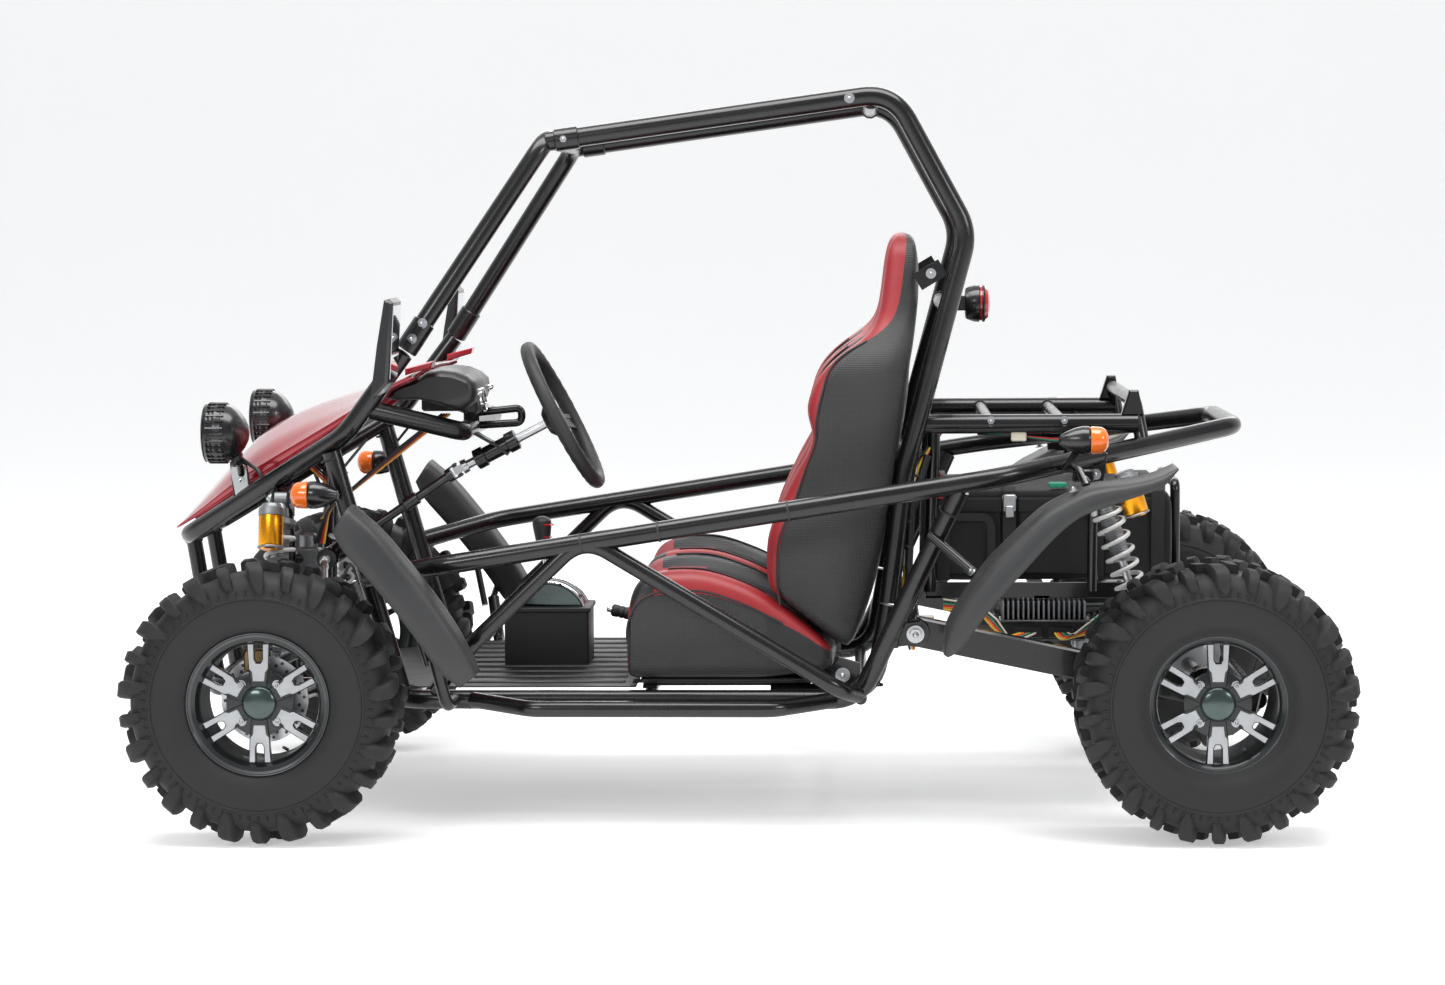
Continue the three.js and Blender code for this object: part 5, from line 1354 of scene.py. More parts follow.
axle = Shape()
axle.turn([(-640, 0), (-640, 15), (640, 15), (640, 0)], REAR_AXLE, ACROSS, 32)
for name, s in SIDES:
    axle.turn([(586 * s, 20), (586 * s, 45), (600 * s, 45), (602 * s, 26), (640 * s, 24), (640 * s, 14)],
              REAR_AXLE, ACROSS, 44)
axle.turn([(140, 14), (140, 28), (165, 28), (165, 14)], REAR_AXLE, ACROSS, 36, closed=True)
build("axle_shaft", axle, "rear_axle", "steel", dark_steel, ["rear_axle"], 35)
rear_disc = Shape()
rear_disc.turn([(150, 85), (155, 85), (155, 50), (150, 50)], REAR_AXLE, ACROSS, 72, closed=True)
near, far = (circle(912, 268, radius, 152.5, range(0, 360, 60)) for radius in (24, 54))
for inner, outer in zip(near, far):
    rear_disc.bar(inner, outer, 12, 4)
build("rear_brake_disc", rear_disc, "rear_axle", "steel", zinc)
print("rear drive done")

# %% [markdown]
# ## Steering
# The wheel has a padded rim with finger bumps behind it and three flat spokes. A joint with two yokes and a
# cross leads to the lower column, and the rack bar pushes both tie rods through rubber boots.

# %% Steering wheel, columns, rack and tie rods
def across_column(angle, radius, distance=0.0):
    one = Vector(ACROSS)
    two = down_column.cross(one).normalized()
    a = math.radians(angle)
    return HUB + down_column * distance + radius * (math.cos(a) * one + math.sin(a) * two)


grip = Shape()
loop = [across_column(360 * i / 72, 150) for i in range(72)]
grip.sweep(loop, [14 + 0.9 * math.sin(i * math.pi / 2) ** 2 * (1 if (i // 18) % 2 else 0.4) for i in range(72)],
           20, closed=True)
build("wheel_grip", grip, "steering_wheel", "grip_rubber", grip_black, ["steering_wheel"], 60)
frame_part = Shape()
for angle in (10, 130, 250):
    for side in (-1, 1):
        outer = across_column(angle + side * 5, 140, 2)
        inner = across_column(angle + side * 14, 28, 16)
        frame_part.bar(inner, outer, 10, 7, down_column)
    frame_part.bar(across_column(angle, 26, 16), across_column(angle, 142, 3), 17, 4.5, down_column)
frame_part.turn([(2, 0), (2, 20), (6, 32), (9, 36), (26, 36), (32, 30), (38, 22), (38, 0)], HUB, down_column,
                44)
frame_part.turn([(0, 0), (0, 16), (3, 18)], HUB, down_column, 36)
build("wheel_spokes", frame_part, "steering_wheel", "dark_plastic", black_plastic)
screws("wheel_screws", [(across_column(30 + 60 * i, 26, 6), -down_column) for i in range(6)], 3.6, 3,
       "steering_wheel")


def yoke(shape, centre, way, pin, arm):
    way, pin = Vector(way).normalized(), Vector(pin).normalized()
    shape.turn([(arm, 8), (arm, 13.5), (arm * 0.62, 14.5), (arm * 0.5, 14.5), (arm * 0.5, 6)], centre, way, 24)
    for side in (-1, 1):
        shape.bar(centre + pin * side * 12.5 + way * arm * 0.55,
                  centre + pin * side * 12.5 - way * 6 * (1 if arm > 0 else -1), 15, 4, pin)
        shape.rod(centre + pin * side * 15.5, centre + pin * side * 8, 5, 14)


upper_shaft = Shape()
upper_shaft.rod(on_column(34), on_column(222), 9, 22)
yoke(upper_shaft, JOINT, -down_column, ACROSS, 24)
build("upper_column", upper_shaft, "steering_wheel", "steel", zinc, ["steering_column"])
lower_way = (Vector((-835, -200, 510)) - JOINT).normalized()
cross_pin = lower_way.cross(Vector(ACROSS)).normalized()
shaft = Shape()
shaft.rod(JOINT + lower_way * 16, JOINT + lower_way * 258, 9, 22)
yoke(shaft, JOINT, lower_way, cross_pin, 24)
shaft.turn([(96, 9), (98, 13), (128, 13), (130, 9)], JOINT, lower_way, 24)
shaft.turn([(228, 9), (230, 14), (252, 14), (254, 9)], JOINT, lower_way, 24)
build("lower_column_shaft", shaft, "lower_column", "steel", dark_steel, ["lower_column"])
rack = Shape()
rack.rod((-835, -262, 510), (-835, 262, 510), 9.5, 22)
build("rack_rod", rack, "rack_bar", "steel", zinc, ["rack_bar"])
for name, s in SIDES:
    boot = Shape()
    folds = [(0, 9.8), (0, 17), (2, 20), (4, 17), (6, 19), (8, 16), (10, 17), (13, 12), (13, 9.8)]
    boot.turn([(a * s, r) for a, r in folds], (-835, 255 * s, 510), ACROSS, 28, closed=True)
    build("rack_boot_" + name, boot, "rack_bar", "grip_rubber", grip_black)
    rod = Shape()
    near, far = Vector((-835, 286 * s, 510)), Vector((-800, 505 * s, 362))
    along = (far - near).normalized()
    rod.rod(near + along * 8, far - along * 8, 7, 18)
    rod.turn([(-26, 7), (-26, 8.6), (-12, 8.6), (-10, 7)], far, along, 6)
    rod.turn([(10, 7), (12, 8.6), (26, 8.6), (26, 7)], near, along, 6)
    for p in (near, far):
        rod.turn([(-10.4, 0), (-8.5, 6.6), (-5, 9.6), (0, 10.4), (5, 9.6), (8.5, 6.6), (10.4, 0)], p, UPWARD,
                 24)
    build("tie_rod_bar_" + name, rod, "tie_rod_" + name, "steel", zinc, ["tie_rod_" + name])
print("steering done")

# %% [markdown]
# ## Stuffed covers
# The seats and the battery bag are soft. Each cover starts as rows of points round a closed form, with its
# seams along some of the rows and columns. A short cloth run pumps the cover up while its seams stay put, so
# every panel bulges a little between its seams. The shape is then kept as a plain mesh, and no point may move
# further than a set limit.

# %% Stuffing helper
CLOTH_FRAMES = 24


def cover(name, rows, paint, seam_rows, seam_columns, materials, body, replaces, push, limit):
    across, down = len(rows[0]), len(rows)
    shape = Shape()
    shape.skin(rows, wrap=True, caps=True)
    mesh = outward_mesh(name, shape)
    for material in materials:
        mesh.materials.append(material)
    kinds = [paint(r, c) for r in range(down - 1) for c in range(across)]
    kinds += [paint(0, across // 2), paint(down - 2, across // 2)]
    mesh.polygons.foreach_set("material_index", kinds)
    piece = add_object(name, mesh)
    held = piece.vertex_groups.new(name="seams")
    held.add([r * across + c for r in range(down) for c in range(across)
              if r in seam_rows or c in seam_columns or (across - c) % across in seam_columns], 1.0,
             "REPLACE")
    stuffing = piece.modifiers.new("stuffing", "CLOTH")
    settings = stuffing.settings
    for kind in ("tension", "compression", "shear"):
        setattr(settings, kind + "_stiffness", 12.0)
        setattr(settings, kind + "_damping", 12)
    for key, value in (("quality", 4), ("mass", 0.25), ("bending_stiffness", 0.6), ("air_damping", 4),
                       ("use_pressure", True), ("uniform_pressure_force", push),
                       ("vertex_group_mass", "seams")):
        setattr(settings, key, value)
    settings.effector_weights.gravity = 0
    stuffing.collision_settings.use_collision = False
    stuffing.point_cache.frame_start, stuffing.point_cache.frame_end = 1, CLOTH_FRAMES
    rest = [v.co.copy() for v in mesh.vertices]
    for step in range(1, CLOTH_FRAMES + 1):
        bpy.context.scene.frame_set(step)
    graph = bpy.context.evaluated_depsgraph_get()
    puffed = bpy.data.meshes.new_from_object(piece.evaluated_get(graph), depsgraph=graph)
    piece.modifiers.remove(stuffing)
    far = 0.0
    for vertex, start in zip(puffed.vertices, rest):
        step = vertex.co - start
        far = max(far, step.length)
        if step.length > limit * MM:
            vertex.co = start + step.normalized() * limit * MM
    piece.data = puffed
    bpy.context.scene.frame_set(1)
    print(name, "moved up to", round(far / MM, 1), "mm")
    piece.data.name = name
    smooth = piece.modifiers.new("smooth", "SUBSURF")
    smooth.levels = smooth.render_levels = 1
    graph = bpy.context.evaluated_depsgraph_get()
    kept = bpy.data.meshes.new_from_object(piece.evaluated_get(graph), depsgraph=graph)
    piece.modifiers.remove(smooth)
    piece.data = kept
    kept.shade_smooth()
    return settle(piece, body, replaces)


print("cloth is simulated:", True)

# %% [markdown]
# ## Seats
# A seat is a cushion and a back with deep side bolsters and a waisted shoulder. Its sides are woven black
# vinyl, and red strips run down the front of the bolsters. Each form is a list of rows, and each row is a loop
# of points.

# %% Seat forms
BACK_ROWS = [((62, 446), (206, 330), 188), ((55, 480), (226, 356), 194), ((53, 520), (243, 400), 196),
             ((55, 561), (257, 450), 196), ((64, 590), (264, 480), 196), ((76, 618), (270, 515), 196),
             ((92, 650), (280, 552), 196), ((106, 680), (287, 590), 196), ((122, 708), (294, 626), 195),
             ((140, 738), (300, 664), 195), ((147, 762), (306, 704), 195), ((140, 786), (312, 742), 196),
             ((134, 808), (317, 778), 196), ((136, 832), (322, 812), 195), ((146, 858), (327, 846), 192),
             ((160, 882), (332, 878), 188), ((182, 906), (337, 906), 180), ((208, 926), (341, 930), 168),
             ((238, 946), (345, 950), 152), ((262, 966), (347, 970), 136), ((275, 990), (349, 993), 124),
             ((281, 1020), (350, 1022), 117), ((285, 1050), (351, 1052), 113), ((289, 1085), (352, 1086), 109),
             ((294, 1115), (352, 1114), 102), ((300, 1138), (350, 1136), 88), ((310, 1151), (344, 1150), 62),
             ((320, 1156), (336, 1156), 30)]

# Half a loop round the back: how far across each point lies, and how deep the first eleven lie behind the front.
BACK_ACROSS = [0.0, 0.13, 0.26, 0.38, 0.48, 0.54, 0.60, 0.66, 0.72, 0.78, 0.85, 0.92, 0.975, 1.0, 1.0, 1.0, 1.0,
               1.0, 0.99, 0.96, 0.9, 0.72, 0.48, 0.24, 0.0]
BACK_HOLLOW = [42, 42, 43, 44, 45, 42, 30, 17, 8, 2, 0]
# How far the strip's seam lies behind the front line, in mm, row by row; it tapers at the waist and the neck.
SEAM_DEPTH = [24, 25, 26, 26, 25, 24, 23, 19, 13, 7, 6, 13, 22, 25, 22, 15, 8, 7, 14, 25, 34, 38, 40, 40, 38,
              34, 24, 10]


# Half a loop of x, distance from the middle and z, joined to its mirror image about the plane at y.
def both_sides(loop, y):
    return [Vector((x, y + h, z)) for x, h, z in loop] + [Vector((x, y - h, z)) for x, h, z in loop[-2:0:-1]]


def seat_back_rows(y):
    rows = []
    for i, (front, rear, half) in enumerate(BACK_ROWS):
        depth = Vector((rear[0] - front[0], rear[1] - front[1]))
        shrink = min(1.0, depth.length / 150)
        hollow = 0.25 if i > 19 else (0.6 if i > 16 else 1.0)
        loop = []
        seam = min(0.8, SEAM_DEPTH[i] / depth.length)
        for c, a in enumerate(BACK_ACROSS):
            if c < len(BACK_HOLLOW):
                along = BACK_HOLLOW[c] / depth.length * shrink * (hollow if a < 0.7 else 1)
            elif c < 14:
                along = seam * (0.14, 0.45, 1.0)[c - 11]
            else:
                along = seam + (1 - seam) * min(1.0, (c - 13) / 7)
            loop.append((front[0] + depth.x * along, half * a, front[1] + depth.y * along))
        rows.append(both_sides(loop, y))
    return rows


# 0 woven black, 1 plain black, 2 red
def paint_back(r, c):
    c = min(c, 47 - c)
    if c >= 13:
        return 0
    if c >= 8 or r >= 18:
        return 2
    return 0 if c >= 4 and r < 15 else 1


CUSHION_ROWS = [(-214, 312, 352), (-221, 300, 385), (-220, 292, 418), (-214, 286, 448), (-204, 284, 470),
                (-190, 283, 484), (-168, 283, 494), (-140, 283, 499), (-108, 283, 500), (-76, 283, 499),
                (-44, 283, 492), (-12, 283, 481), (20, 283, 468), (52, 284, 452), (86, 288, 428),
                (120, 292, 402), (156, 296, 370), (190, 302, 338)]
CUSHION_LOOP = [(0.0, -34), (0.13, -34), (0.26, -34), (0.38, -33), (0.48, -31), (0.56, -22), (0.63, -10),
                (0.70, -3), (0.78, 0), (0.86, -2), (0.93, -9), (0.98, -22), (1.0, -40), (1.0, 0.62),
                (1.0, 0.45), (1.0, 0.28), (0.985, 0.12), (0.94, 0.02), (0.8, 0.0), (0.5, 0.0), (0.25, 0.0),
                (0.0, 0.0)]


def cushion_rows(y):
    rows = []
    for i, (x, low, high) in enumerate(CUSHION_ROWS):
        tall = high - low
        dip = 0.3 + 0.7 * min(1.0, i / 7)
        half = 190 + (6 if 2 < i < 15 else 0)
        loop = []
        for a, v in CUSHION_LOOP:
            if v < 0 or (v == 0 and a == 0.78):
                h = high + v * min(1.0, tall / 170) * (dip if a < 0.7 else 1)
            else:
                h = low + tall * v
            loop.append((x, half * a, max(h, low + tall * 0.5) if v < 0 else h))
        rows.append(both_sides(loop, y))
    return rows


# 0 woven black, 1 plain black, 2 red, 3 rose
def paint_cushion(r, c):
    c = min(c, 41 - c)
    if c >= 12:
        return 2 if r < 2 else (0 if r < 13 else 1)
    if r < 3:
        return 2 if c >= 8 else 3
    if r < 6:
        return 3 if c < 8 else 1
    if c >= 8:
        return 2
    if c >= 5:
        return 0
    return 1 if r > 8 else 3


print("seat forms", len(seat_back_rows(0)), "and", len(cushion_rows(0)), "rows")

# %% [markdown]
# ## Seat covers, piping and stitches
# The left seat is stuffed and painted panel by panel, then copied to the right. Black piping follows the seams,
# red stitches run beside it, and a plate with two runners closes the seat below.

# %% Seats
BACK_SEAMS, CUSHION_SEAMS = (4, 8, 13, 20), (5, 8, 12, 17)
seat_colours = [carbon_vinyl, plain_vinyl, red_vinyl, rose_vinyl]
SEAT_STEP = 0.424
seat_back = cover("seat_back_cover_left", seat_back_rows(-212), paint_back, (0, 8, 10, 16, 18, 27), BACK_SEAMS,
                  seat_colours, "seat_left", ["seat_back_left"], 5.0, 9)
seat_base = cover("seat_cushion_cover_left", cushion_rows(-212), paint_cushion, (0, 3, 7, 17), CUSHION_SEAMS,
                  seat_colours, "seat_left", ["seat_cushion_left"], 5.0, 9)
for source, title, cad, fill in ((seat_back, "seat_back_cover_right", "seat_back_right", 0.9),
                                 (seat_base, "seat_cushion_cover_right", "seat_cushion_right", 0.85)):
    mesh = source.data.copy()
    mesh.transform(Matrix.Translation((0, SEAT_STEP, 0)))
    settle(add_object(title, mesh), "seat_right", [cad])


def seam_line(rows, column, first, last, lift):
    line = []
    for r in range(first, last + 1):
        middle = sum(rows[r], Vector()) / len(rows[r])
        p = rows[r][column]
        line.append(p + (p - middle).normalized() * lift)
    return line


for name, s in SIDES:
    y = 212 * s
    backs, bases = seat_back_rows(y), cushion_rows(y)
    lines = []
    for right_hand in (False, True):
        for rows, column, first, last, lift in ((backs, 13, 0, 18, 0.6), (bases, 12, 0, 14, 0.6),
                                                (backs, 8, 1, 17, 0.3), (bases, 8, 7, 13, 0.3)):
            column = len(rows[0]) - column if right_hand else column
            lines.append([Vector(p) for p in eased(seam_line(rows, column, first, last, lift), 4)])
    piping = Shape()
    for line in lines:
        piping.sweep(line, 2.1, 8)
    build("seat_piping_" + name, piping, "seat_" + name, "seat_cover", plain_vinyl)
    stitches = [[p + Vector((-1.2, 0, 1.5)) for p in line] for line in lines]
    beads("seat_stitches_" + name, stitches, 7, (0.9, 0.9, 2.4), "seat_" + name, red_vinyl)
    base = Shape()
    base.block((-196, y - 168, 277), (196, y + 168, 284), 2)
    for side in (-150, 150):
        base.block((-212, y + side - 13, 273.6), (216, y + side + 13, 278), 1.2)
    build("seat_base_plate_" + name, base, "seat_" + name, "frame_paint", floor_black)
print("seats done")

# %% [markdown]
# ## Belts
# Each seat has a webbing belt with an orange button on its buckle. The webbing is modelled as it lies, in a
# flat strip with a woven surface.

# %% Belts and buckles
def webbing(shape, path, width, thick, face):
    path = [Vector(p) for p in path]
    rows = []
    for i, p in enumerate(path):
        along = (path[min(i + 1, len(path) - 1)] - path[max(i - 1, 0)]).normalized()
        out = Vector(face[i] if isinstance(face, list) else face)
        out = (out - along * along.dot(out)).normalized()
        wide = along.cross(out)
        rows.append([p + wide * width / 2 + out * thick / 2, p - wide * width / 2 + out * thick / 2,
                     p - wide * width / 2 - out * thick / 2, p + wide * width / 2 - out * thick / 2])
    shape.skin(rows)


for name, s in SIDES:
    inner = 212 * s - 200 * s
    strap = Shape()
    webbing(strap, bent([(170, inner, 300), (140, inner, 400, 40), (100, inner + 3 * s, 480)], 6), 40, 2.4,
            ACROSS)
    build("belt_webbing_" + name, strap, "seat_" + name, "seat_cover", strap_cloth)
    buckle = Shape()
    buckle.block((78, inner - 9, 476), (120, inner + 9, 528), 4)
    build("belt_buckle_" + name, buckle, "seat_" + name, "dark_plastic", black_plastic)
    press = Shape()
    press.block((82, inner - 7, 526), (116, inner + 7, 535), 2)
    build("belt_button_" + name, press, "seat_" + name, "red_lens", amber)
    screws("seat_anchor_bolts_" + name, [((203, 414 * s, 294), (0, s, 0)), ((203, 400 * s, 262), (0, s, 0))],
           10, 8)
print("belts done")

# %% [markdown]
# ## Controls and mirrors
# The shift lever stands in a domed quadrant on a box between the seats. The hand brake has a chrome button, and
# two pedals hang from ears on the floor. The mirrors are thin shells on short stalks.

# %% Console, levers, pedals and mirrors
console = Shape()
console.block((-496, -74, 268.8), (-322, 74, 388), 3)
console.block((-500, -78, 380), (-318, 78, 390), 2)
build("console_shell", console, "chassis", "dark_plastic", floor_black, ["console_box"], 30)
dome = Shape()
for side in (-1, 1):
    outline = [(x, z) for x, _, z in circle(-408, 358, 80, 0, range(22, 159, 6))]
    dome.plate(outline, "y", side * 12, side * 46, 3)
build("quadrant_dome", dome, "chassis", "dark_plastic", cap_green, (), 40)
arch = Shape()
for side in (-1, 1):
    arch.sweep(circle(-408, 358, 81, side * 44, range(20, 161, 5)), 3.4, 10)
    arch.sweep(circle(-408, 358, 80, side * 14, range(20, 161, 5)), 2, 8)
build("quadrant_rim", arch, "chassis", "steel", chrome)
stem = Shape()
stem.rod((-408, 0, 384), (-420, 0, 516), 5.5, 18)
stem.turn([(0, 5), (1, 11), (8, 12), (10, 9), (14, 9), (16, 0)], (-419.6, 0, 500), (-0.09, 0, 1), 28)
build("shift_stem", stem, "shift_lever", "steel", chrome, ["shift_lever"])
knob = Shape()
knob.turn([(0, 8), (2, 14), (14, 15.5), (30, 18), (44, 20), (52, 19), (58, 14), (61, 7), (62, 0)],
          (-420.5, 0, 512), (-0.05, 0, 1), 36)
build("shift_knob", knob, "shift_lever", "dark_plastic", grip_black)
accent = Shape()
for radius, height, thick in ((20.5, 556, 1.8), (16.5, 530, 1.6)):
    turns = [math.radians(t) for t in range(-80, 81, 10)]
    accent.sweep([(-420 + radius * math.cos(t), radius * math.sin(t) * 0.96, height) for t in turns], thick, 8)
build("shift_knob_band", accent, "shift_lever", "red_lens", red_lens)

brake = Shape()
brake.turn([(-14, 0), (-14, 12), (14, 12), (14, 0)], (-62, 0, 302), ACROSS, 30)
brake.bar((-62, 0, 302), (-200, 0, 358), 20, 8, ACROSS)
build("hand_brake_bar", brake, "hand_brake", "steel", floor_black, ["hand_brake"])
handle = Shape()
way = Vector((-281 + 190, 0, 378 - 357))
profile = [(0, 8), (2, 12.5), (8, 13)]
for i in range(6):
    profile += [(16 + i * 11, 13), (20 + i * 11, 11.6), (24 + i * 11, 13)]
handle.turn(profile + [(88, 13), (92, 9), (92, 0)], (-190, 0, 357), way, 28)
build("hand_brake_grip", handle, "hand_brake", "grip_rubber", grip_black)
button = Shape()
button.turn([(90, 0), (90, 6), (100, 6), (102, 4), (102, 0)], (-190, 0, 357), way, 20)
build("hand_brake_button", button, "hand_brake", "steel", chrome)

for title, y in (("brake_pedal", -170), ("accelerator_pedal", -80)):
    pedal = Shape()
    pedal.turn([(-16, 0), (-16, 11), (16, 11), (16, 0)], (-745, y, 292), ACROSS, 26)
    pedal.bar((-745, y, 292), (-790, y, 428), 16, 8, ACROSS)
    build(title + "_arm", pedal, title, "steel", floor_black, [title])
    pad = Shape()
    pad.plate([(-778, 396), (-770, 399), (-790, 455), (-798, 452)], "y", y - 28, y + 28, 2)
    for i in range(5):
        pad.bar((-772 - 3.6 * i, y - 24, 404 + 10 * i), (-772 - 3.6 * i, y + 24, 404 + 10 * i), 4, 3,
                (0.94, 0, 0.34))
    build(title + "_pad", pad, title, "grip_rubber", grip_black)

for name, s in SIDES:
    glass_edge = [(-694, 848), (-678, 858), (-660, 878), (-650, 1000), (-647, 1032), (-655, 1040), (-665, 1037),
                  (-680, 950)]
    house = Shape()
    house.plate(glass_edge, "y", 484 * s, 606 * s, 6)
    house.sweep(bent([(-689.5, 455 * s, 868), (-684, 478 * s, 872, 10), (-676, 500 * s, 884)]), 8, 14)
    house.turn([(-10, 9), (-8, 12), (8, 12), (10, 9)], (-689.5, 455 * s, 868), UPWARD, 24)
    build("mirror_shell_" + name, house, "mirror_" + name, "gloss_black", shell_black, ["mirror_" + name], 35)
    shine = Shape()
    shine.plate([(-657.4, 886), (-655.4, 886), (-646.6, 1026), (-648.6, 1026)], "y", 492 * s, 598 * s, 0.5)
    build("mirror_glass_" + name, shine, "mirror_" + name, "steel", looking_glass)
print("controls done")

# %% [markdown]
# ## Battery bag
# The battery sits in a nylon bag with pocket panels. Four straps run round it, and two of them close with
# latches.

# %% Battery bag and straps
BAG_LOOP = [(370, 470), (370, 500), (370, 550), (370, 600), (372, 630), (384, 640), (430, 642), (480, 642),
            (530, 642), (580, 642), (616, 642), (660, 642), (710, 642), (760, 642), (810, 642), (848, 640),
            (860, 630), (862, 600), (862, 550), (862, 500), (860, 470), (850, 461), (800, 461), (740, 461),
            (680, 461), (616, 461), (560, 461), (500, 461), (440, 461), (382, 461)]


def bag_rows():
    rows = []
    for y, inset in ((-228, 14), (-230, 4), (-222, 0), (-190, 0), (-150, 0), (-110, 0), (-60, 0), (0, 0),
                     (60, 0), (110, 0), (150, 0), (190, 0), (222, 0), (230, 4), (228, 14)):
        rows.append([Vector((616 + (x - 616) * (1 - inset / 246), y, 551 + (z - 551) * (1 - inset / 90)))
                     for x, z in BAG_LOOP])
    return rows


bag = cover("battery_bag", bag_rows(), lambda r, c: 0, (0, 2, 7, 12, 14), (4, 10, 16, 21, 25), [bag_cloth],
            "chassis", ["battery_pack"], 3.0, 6)
pockets = Shape()
for low, high in ((392, 520), (556, 700), (724, 842)):
    pockets.block((low, -236, 474), (high, -229, 600), 3)
    pockets.block((low - 4, -238, 596), (high + 4, -228, 628), 4)
build("bag_pockets", pockets, "chassis", "bag_cloth", bag_cloth)
straps = Shape()
for x in (404, 536, 712, 832):
    webbing(straps, [(x, -238, 462), (x, -240, 540), (x, -240, 610), (x, -236, 640), (x, -222, 648),
                     (x, 0, 650), (x, 222, 648), (x, 236, 640), (x, 240, 560), (x, 238, 462)], 26, 2.4,
            [(0, -1, 0), (0, -1, 0), (0, -1, 0), (0, -0.8, 0.6), (0, -0.2, 1), UPWARD, (0, 0.2, 1),
             (0, 0.8, 0.6), ACROSS, ACROSS])
webbing(straps, bent([(410, -240, 500), (410, -246, 590, 24), (500, -246, 590, 24), (500, -240, 500)], 6), 16,
        3, (0, -1, 0))
build("bag_straps", straps, "chassis", "bag_cloth", strap_cloth)
latches = Shape()
for x in (536, 712):
    latches.block((x - 13, -248, 600), (x + 13, -239, 634), 2)
    latches.block((x - 9, -251, 588), (x + 9, -245, 612), 2)
    latches.rod((x - 14, -243, 628), (x + 14, -243, 628), 3, 12)
build("bag_latches", latches, "chassis", "steel", zinc)
print("bag straps and latches done")

# %% [markdown]
# ## Controller and wires
# The controller is a flat case with a row of fins, which the line tree repeats. Each wire is a thin tube along
# a rounded path. Wires of one colour share a piece, and plugs, ties, the brake cylinder and the frame bolts
# finish the job.

# %% Controller and wiring
box = Shape()
box.block((517, -290, 345), (687, -100, 388), 4)
box.block((540, -297, 352), (600, -288, 374), 2)
box.block((612, -297, 352), (660, -288, 374), 2)
build("controller_case", box, "chassis", "alloy", floor_black, ["motor_controller"])
fin = Shape()
fin.block((520, -284, 387), (524, -106, 424), 1)
baked("controller_fins", shaded_mesh("seed", fin), LINE,
      {"Count": 17, "Step": (0.0101, 0, 0), "Material": cast_alloy}, "chassis")
plate_edge = Shape()
plate_edge.block((510, -300, 384), (694, -90, 388), 1)
build("controller_plate", plate_edge, "chassis", "alloy", dark_steel)
holes = [((x, y, 388), UPWARD) for x in (515, 689) for y in (-290, -100)]
screws("controller_screws", holes, 4.5, 4)

looms = {key: Shape() for key in wire_colours}


def wire(colour, corners, radius, sides=8):
    looms[colour].sweep(bent(corners), radius, sides)


for i, colour in enumerate(("red", "black", "green", "black", "yellow")):
    dx, dy = 5 * math.cos(i * 1.25), 5 * math.sin(i * 1.25)
    wire(colour, [(400 + dx, -300 + dy, 770), (352 + dx, -330 + dy, 700, 40), (330 + dx, -318 + dy, 560, 60),
                  (318 + dx, -316 + dy, 430, 40), (340 + dx, -300 + dy, 330)], 2.4)
for i, colour in enumerate(("yellow", "orange", "red", "green", "black", "ivory")):
    wire(colour, [(556 + i * 6, -297, 362), (524 + i * 3, -318 - i, 356 - 2 * i, 14),
                  (498 + i * 2, -312, 376 + 3 * i, 16), (474, -290, 404 + i * 3, 16), (404, -262, 406 + i * 4)],
         2.0)
    wire(colour, [(624 + i * 5, -297, 362), (634 + i * 5, -316, 350 + 2 * i, 14),
                  (690, -306 + i, 362 + 4 * i, 25), (730, -270, 392 + 3 * i, 20), (742, -240, 430)], 2.0)
for i, colour in enumerate(("red", "green", "black")):
    wire(colour, [(412, -180 + i * 9, 644), (400, -196 + i * 7, 668, 14), (384, -250 + i * 7, 700, 26),
                  (352, -300, 716 + i * 6)], 2.6)
    wire(colour, [(470, -316, 768 - i * 4), (540, -322 - i, 757, 40), (620, -318, 750 - i * 3, 40),
                  (700, -324, 752)], 2.2)
wire("black", [(372, -330, 720), (340, -334, 620, 60), (334, -330, 500, 60), (346, -322, 340)], 8, 14)
PLUGS = {
    "ivory": [((322, -330, 500), (342, -312, 534)), ((536, -332, 746), (566, -316, 764)),
              ((352, -330, 384), (384, -310, 400)), ((478, -326, 348), (506, -308, 366))],
    "green": [((452, -204, 650), (474, -182, 668)), ((702, -300, 372), (716, -280, 394)),
              ((616, -222, 646), (652, -200, 656))],
    "red": [((372, -246, 626), (404, -228, 640))],
}
for colour, plugs in PLUGS.items():
    for low, high in plugs:
        looms[colour].block(low, high, 2)
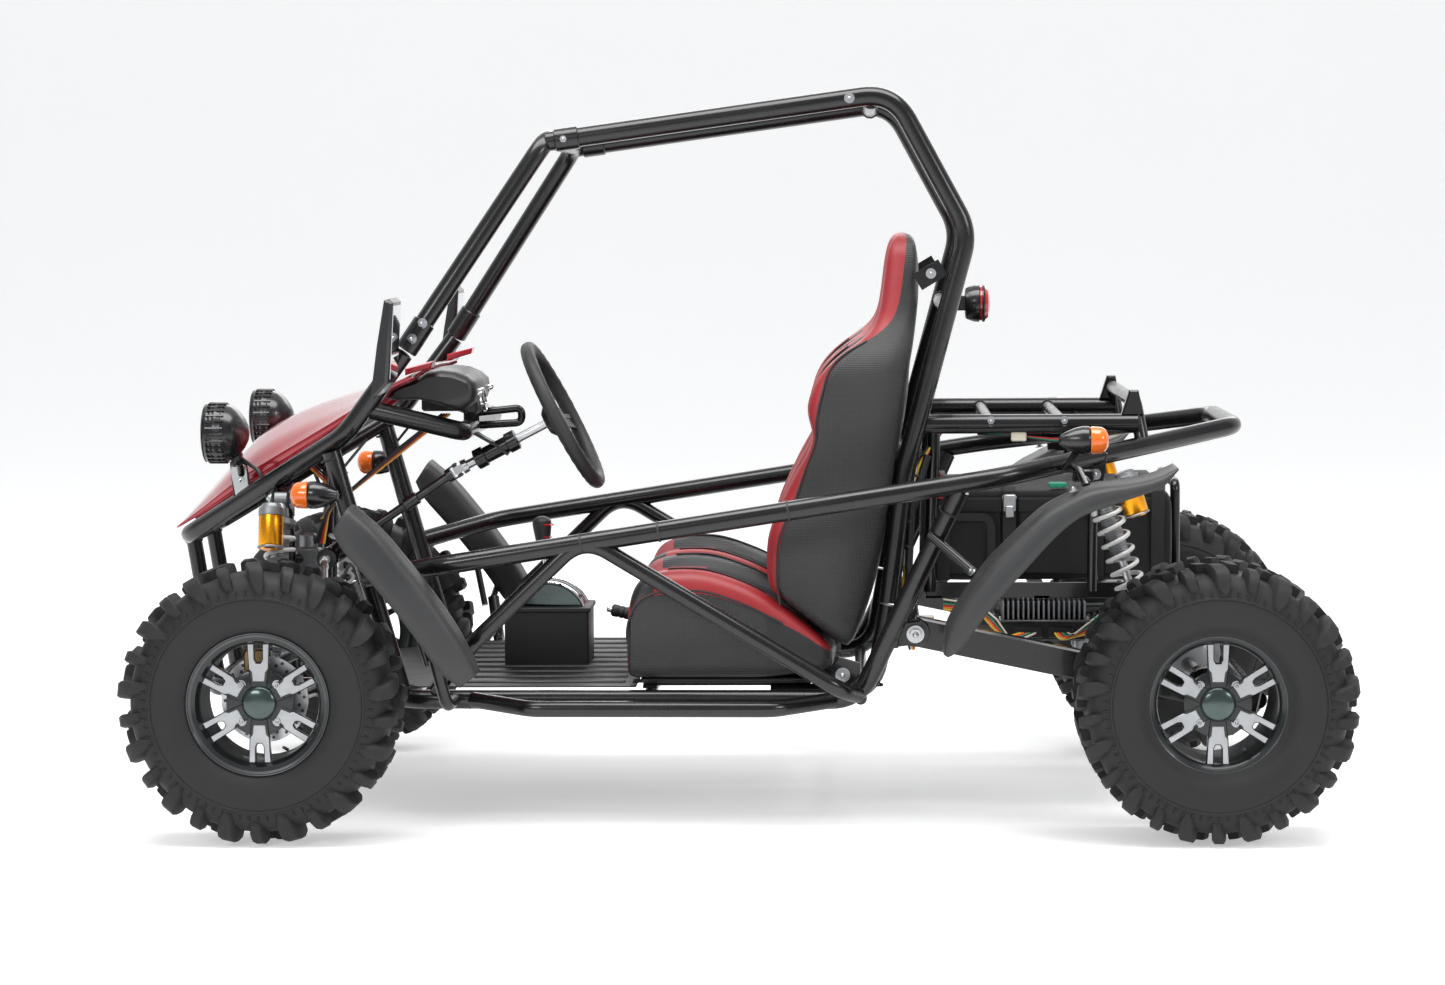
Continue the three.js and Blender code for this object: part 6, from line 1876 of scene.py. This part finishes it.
for i, colour in enumerate(("black", "black", "red", "yellow")):
    wire(colour, [(-600 + i * 5, -230, 800), (-690, -250 + i * 6, 730 - i * 4, 40),
                  (-830, -262 + i * 5, 610, 50), (-860 + i * 6, -240, 540)], 2.6)
    wire(colour, [(-1006, 262 + i * 2, 700), (-960, 240 + i * 6, 690 - i * 6, 20), (-900, 200, 650 - i * 8, 40),
                  (-860, -60, 600 - i * 6, 40), (-850, -220, 590)], 2.6)
for side in (-1, 1):
    wire("black", [(-1004, 268 * side, 716), (-960, 300 * side, 690, 25), (-930, 320 * side, 600, 40),
                   (-905, 318 * side, 560)], 4, 10)
    wire("black", [(-806, 448 * side, 655), (-800, 420 * side, 640, 12), (-780, 400 * side, 700, 20),
                   (-730, 395 * side, 760)], 3, 10)
for colour, shape in looms.items():
    build("wires_" + colour, shape, "chassis", "grip_rubber", wire_colours[colour])
ties = Shape()
for x, y, z in ((346, -336, 680), (334, -331, 590), (333, -330, 540), (340, -326, 420)):
    ties.turn([(-2.5, 8.2), (-2.5, 10.5), (2.5, 10.5), (2.5, 8.2)], (x, y, z), (0.05, 0, 1), 20, closed=True)
for x in (-300, 100, -150):
    ties.turn([(-2, 18.8), (-2, 20.6), (2, 20.6), (2, 18.8)], (x, -525, 522 + (x + 573) * 0.1547),
              (1, 0, 0.155), 28, closed=True)
build("cable_ties", ties, "chassis", "grip_rubber", grip_black)
pump = Shape()
pump.block((-900, -250, 470), (-850, -205, 530), 4)
pump.turn([(0, 16), (3, 18), (26, 18), (30, 14), (30, 0)], (-875, -228, 530), UPWARD, 28)
build("brake_cylinder", pump, "chassis", "alloy", cast_alloy)
screws("frame_bolts", [((220, -371, 1420), (0, -1, 0)), ((220, 371, 1420), ACROSS),
                       ((-340, -364, 1345), (0, -1, 0)), ((-336, 364, 1345), ACROSS),
                       ((-632, -448, 958), (-0.2, -1, 0)), ((-612, -442, 988), (-0.2, -1, 0)),
                       ((-632, 448, 958), (-0.2, 1, 0)), ((-612, 442, 988), (-0.2, 1, 0)),
                       ((378, -371, 1078), (0, -1, 0)), ((640, -336, 786), (0, -1, 0.2)),
                       ((496, -336, 786), (0, -1, 0.2))], 7, 6)
print("controller and wiring done")

# %% Finish
print("finished")
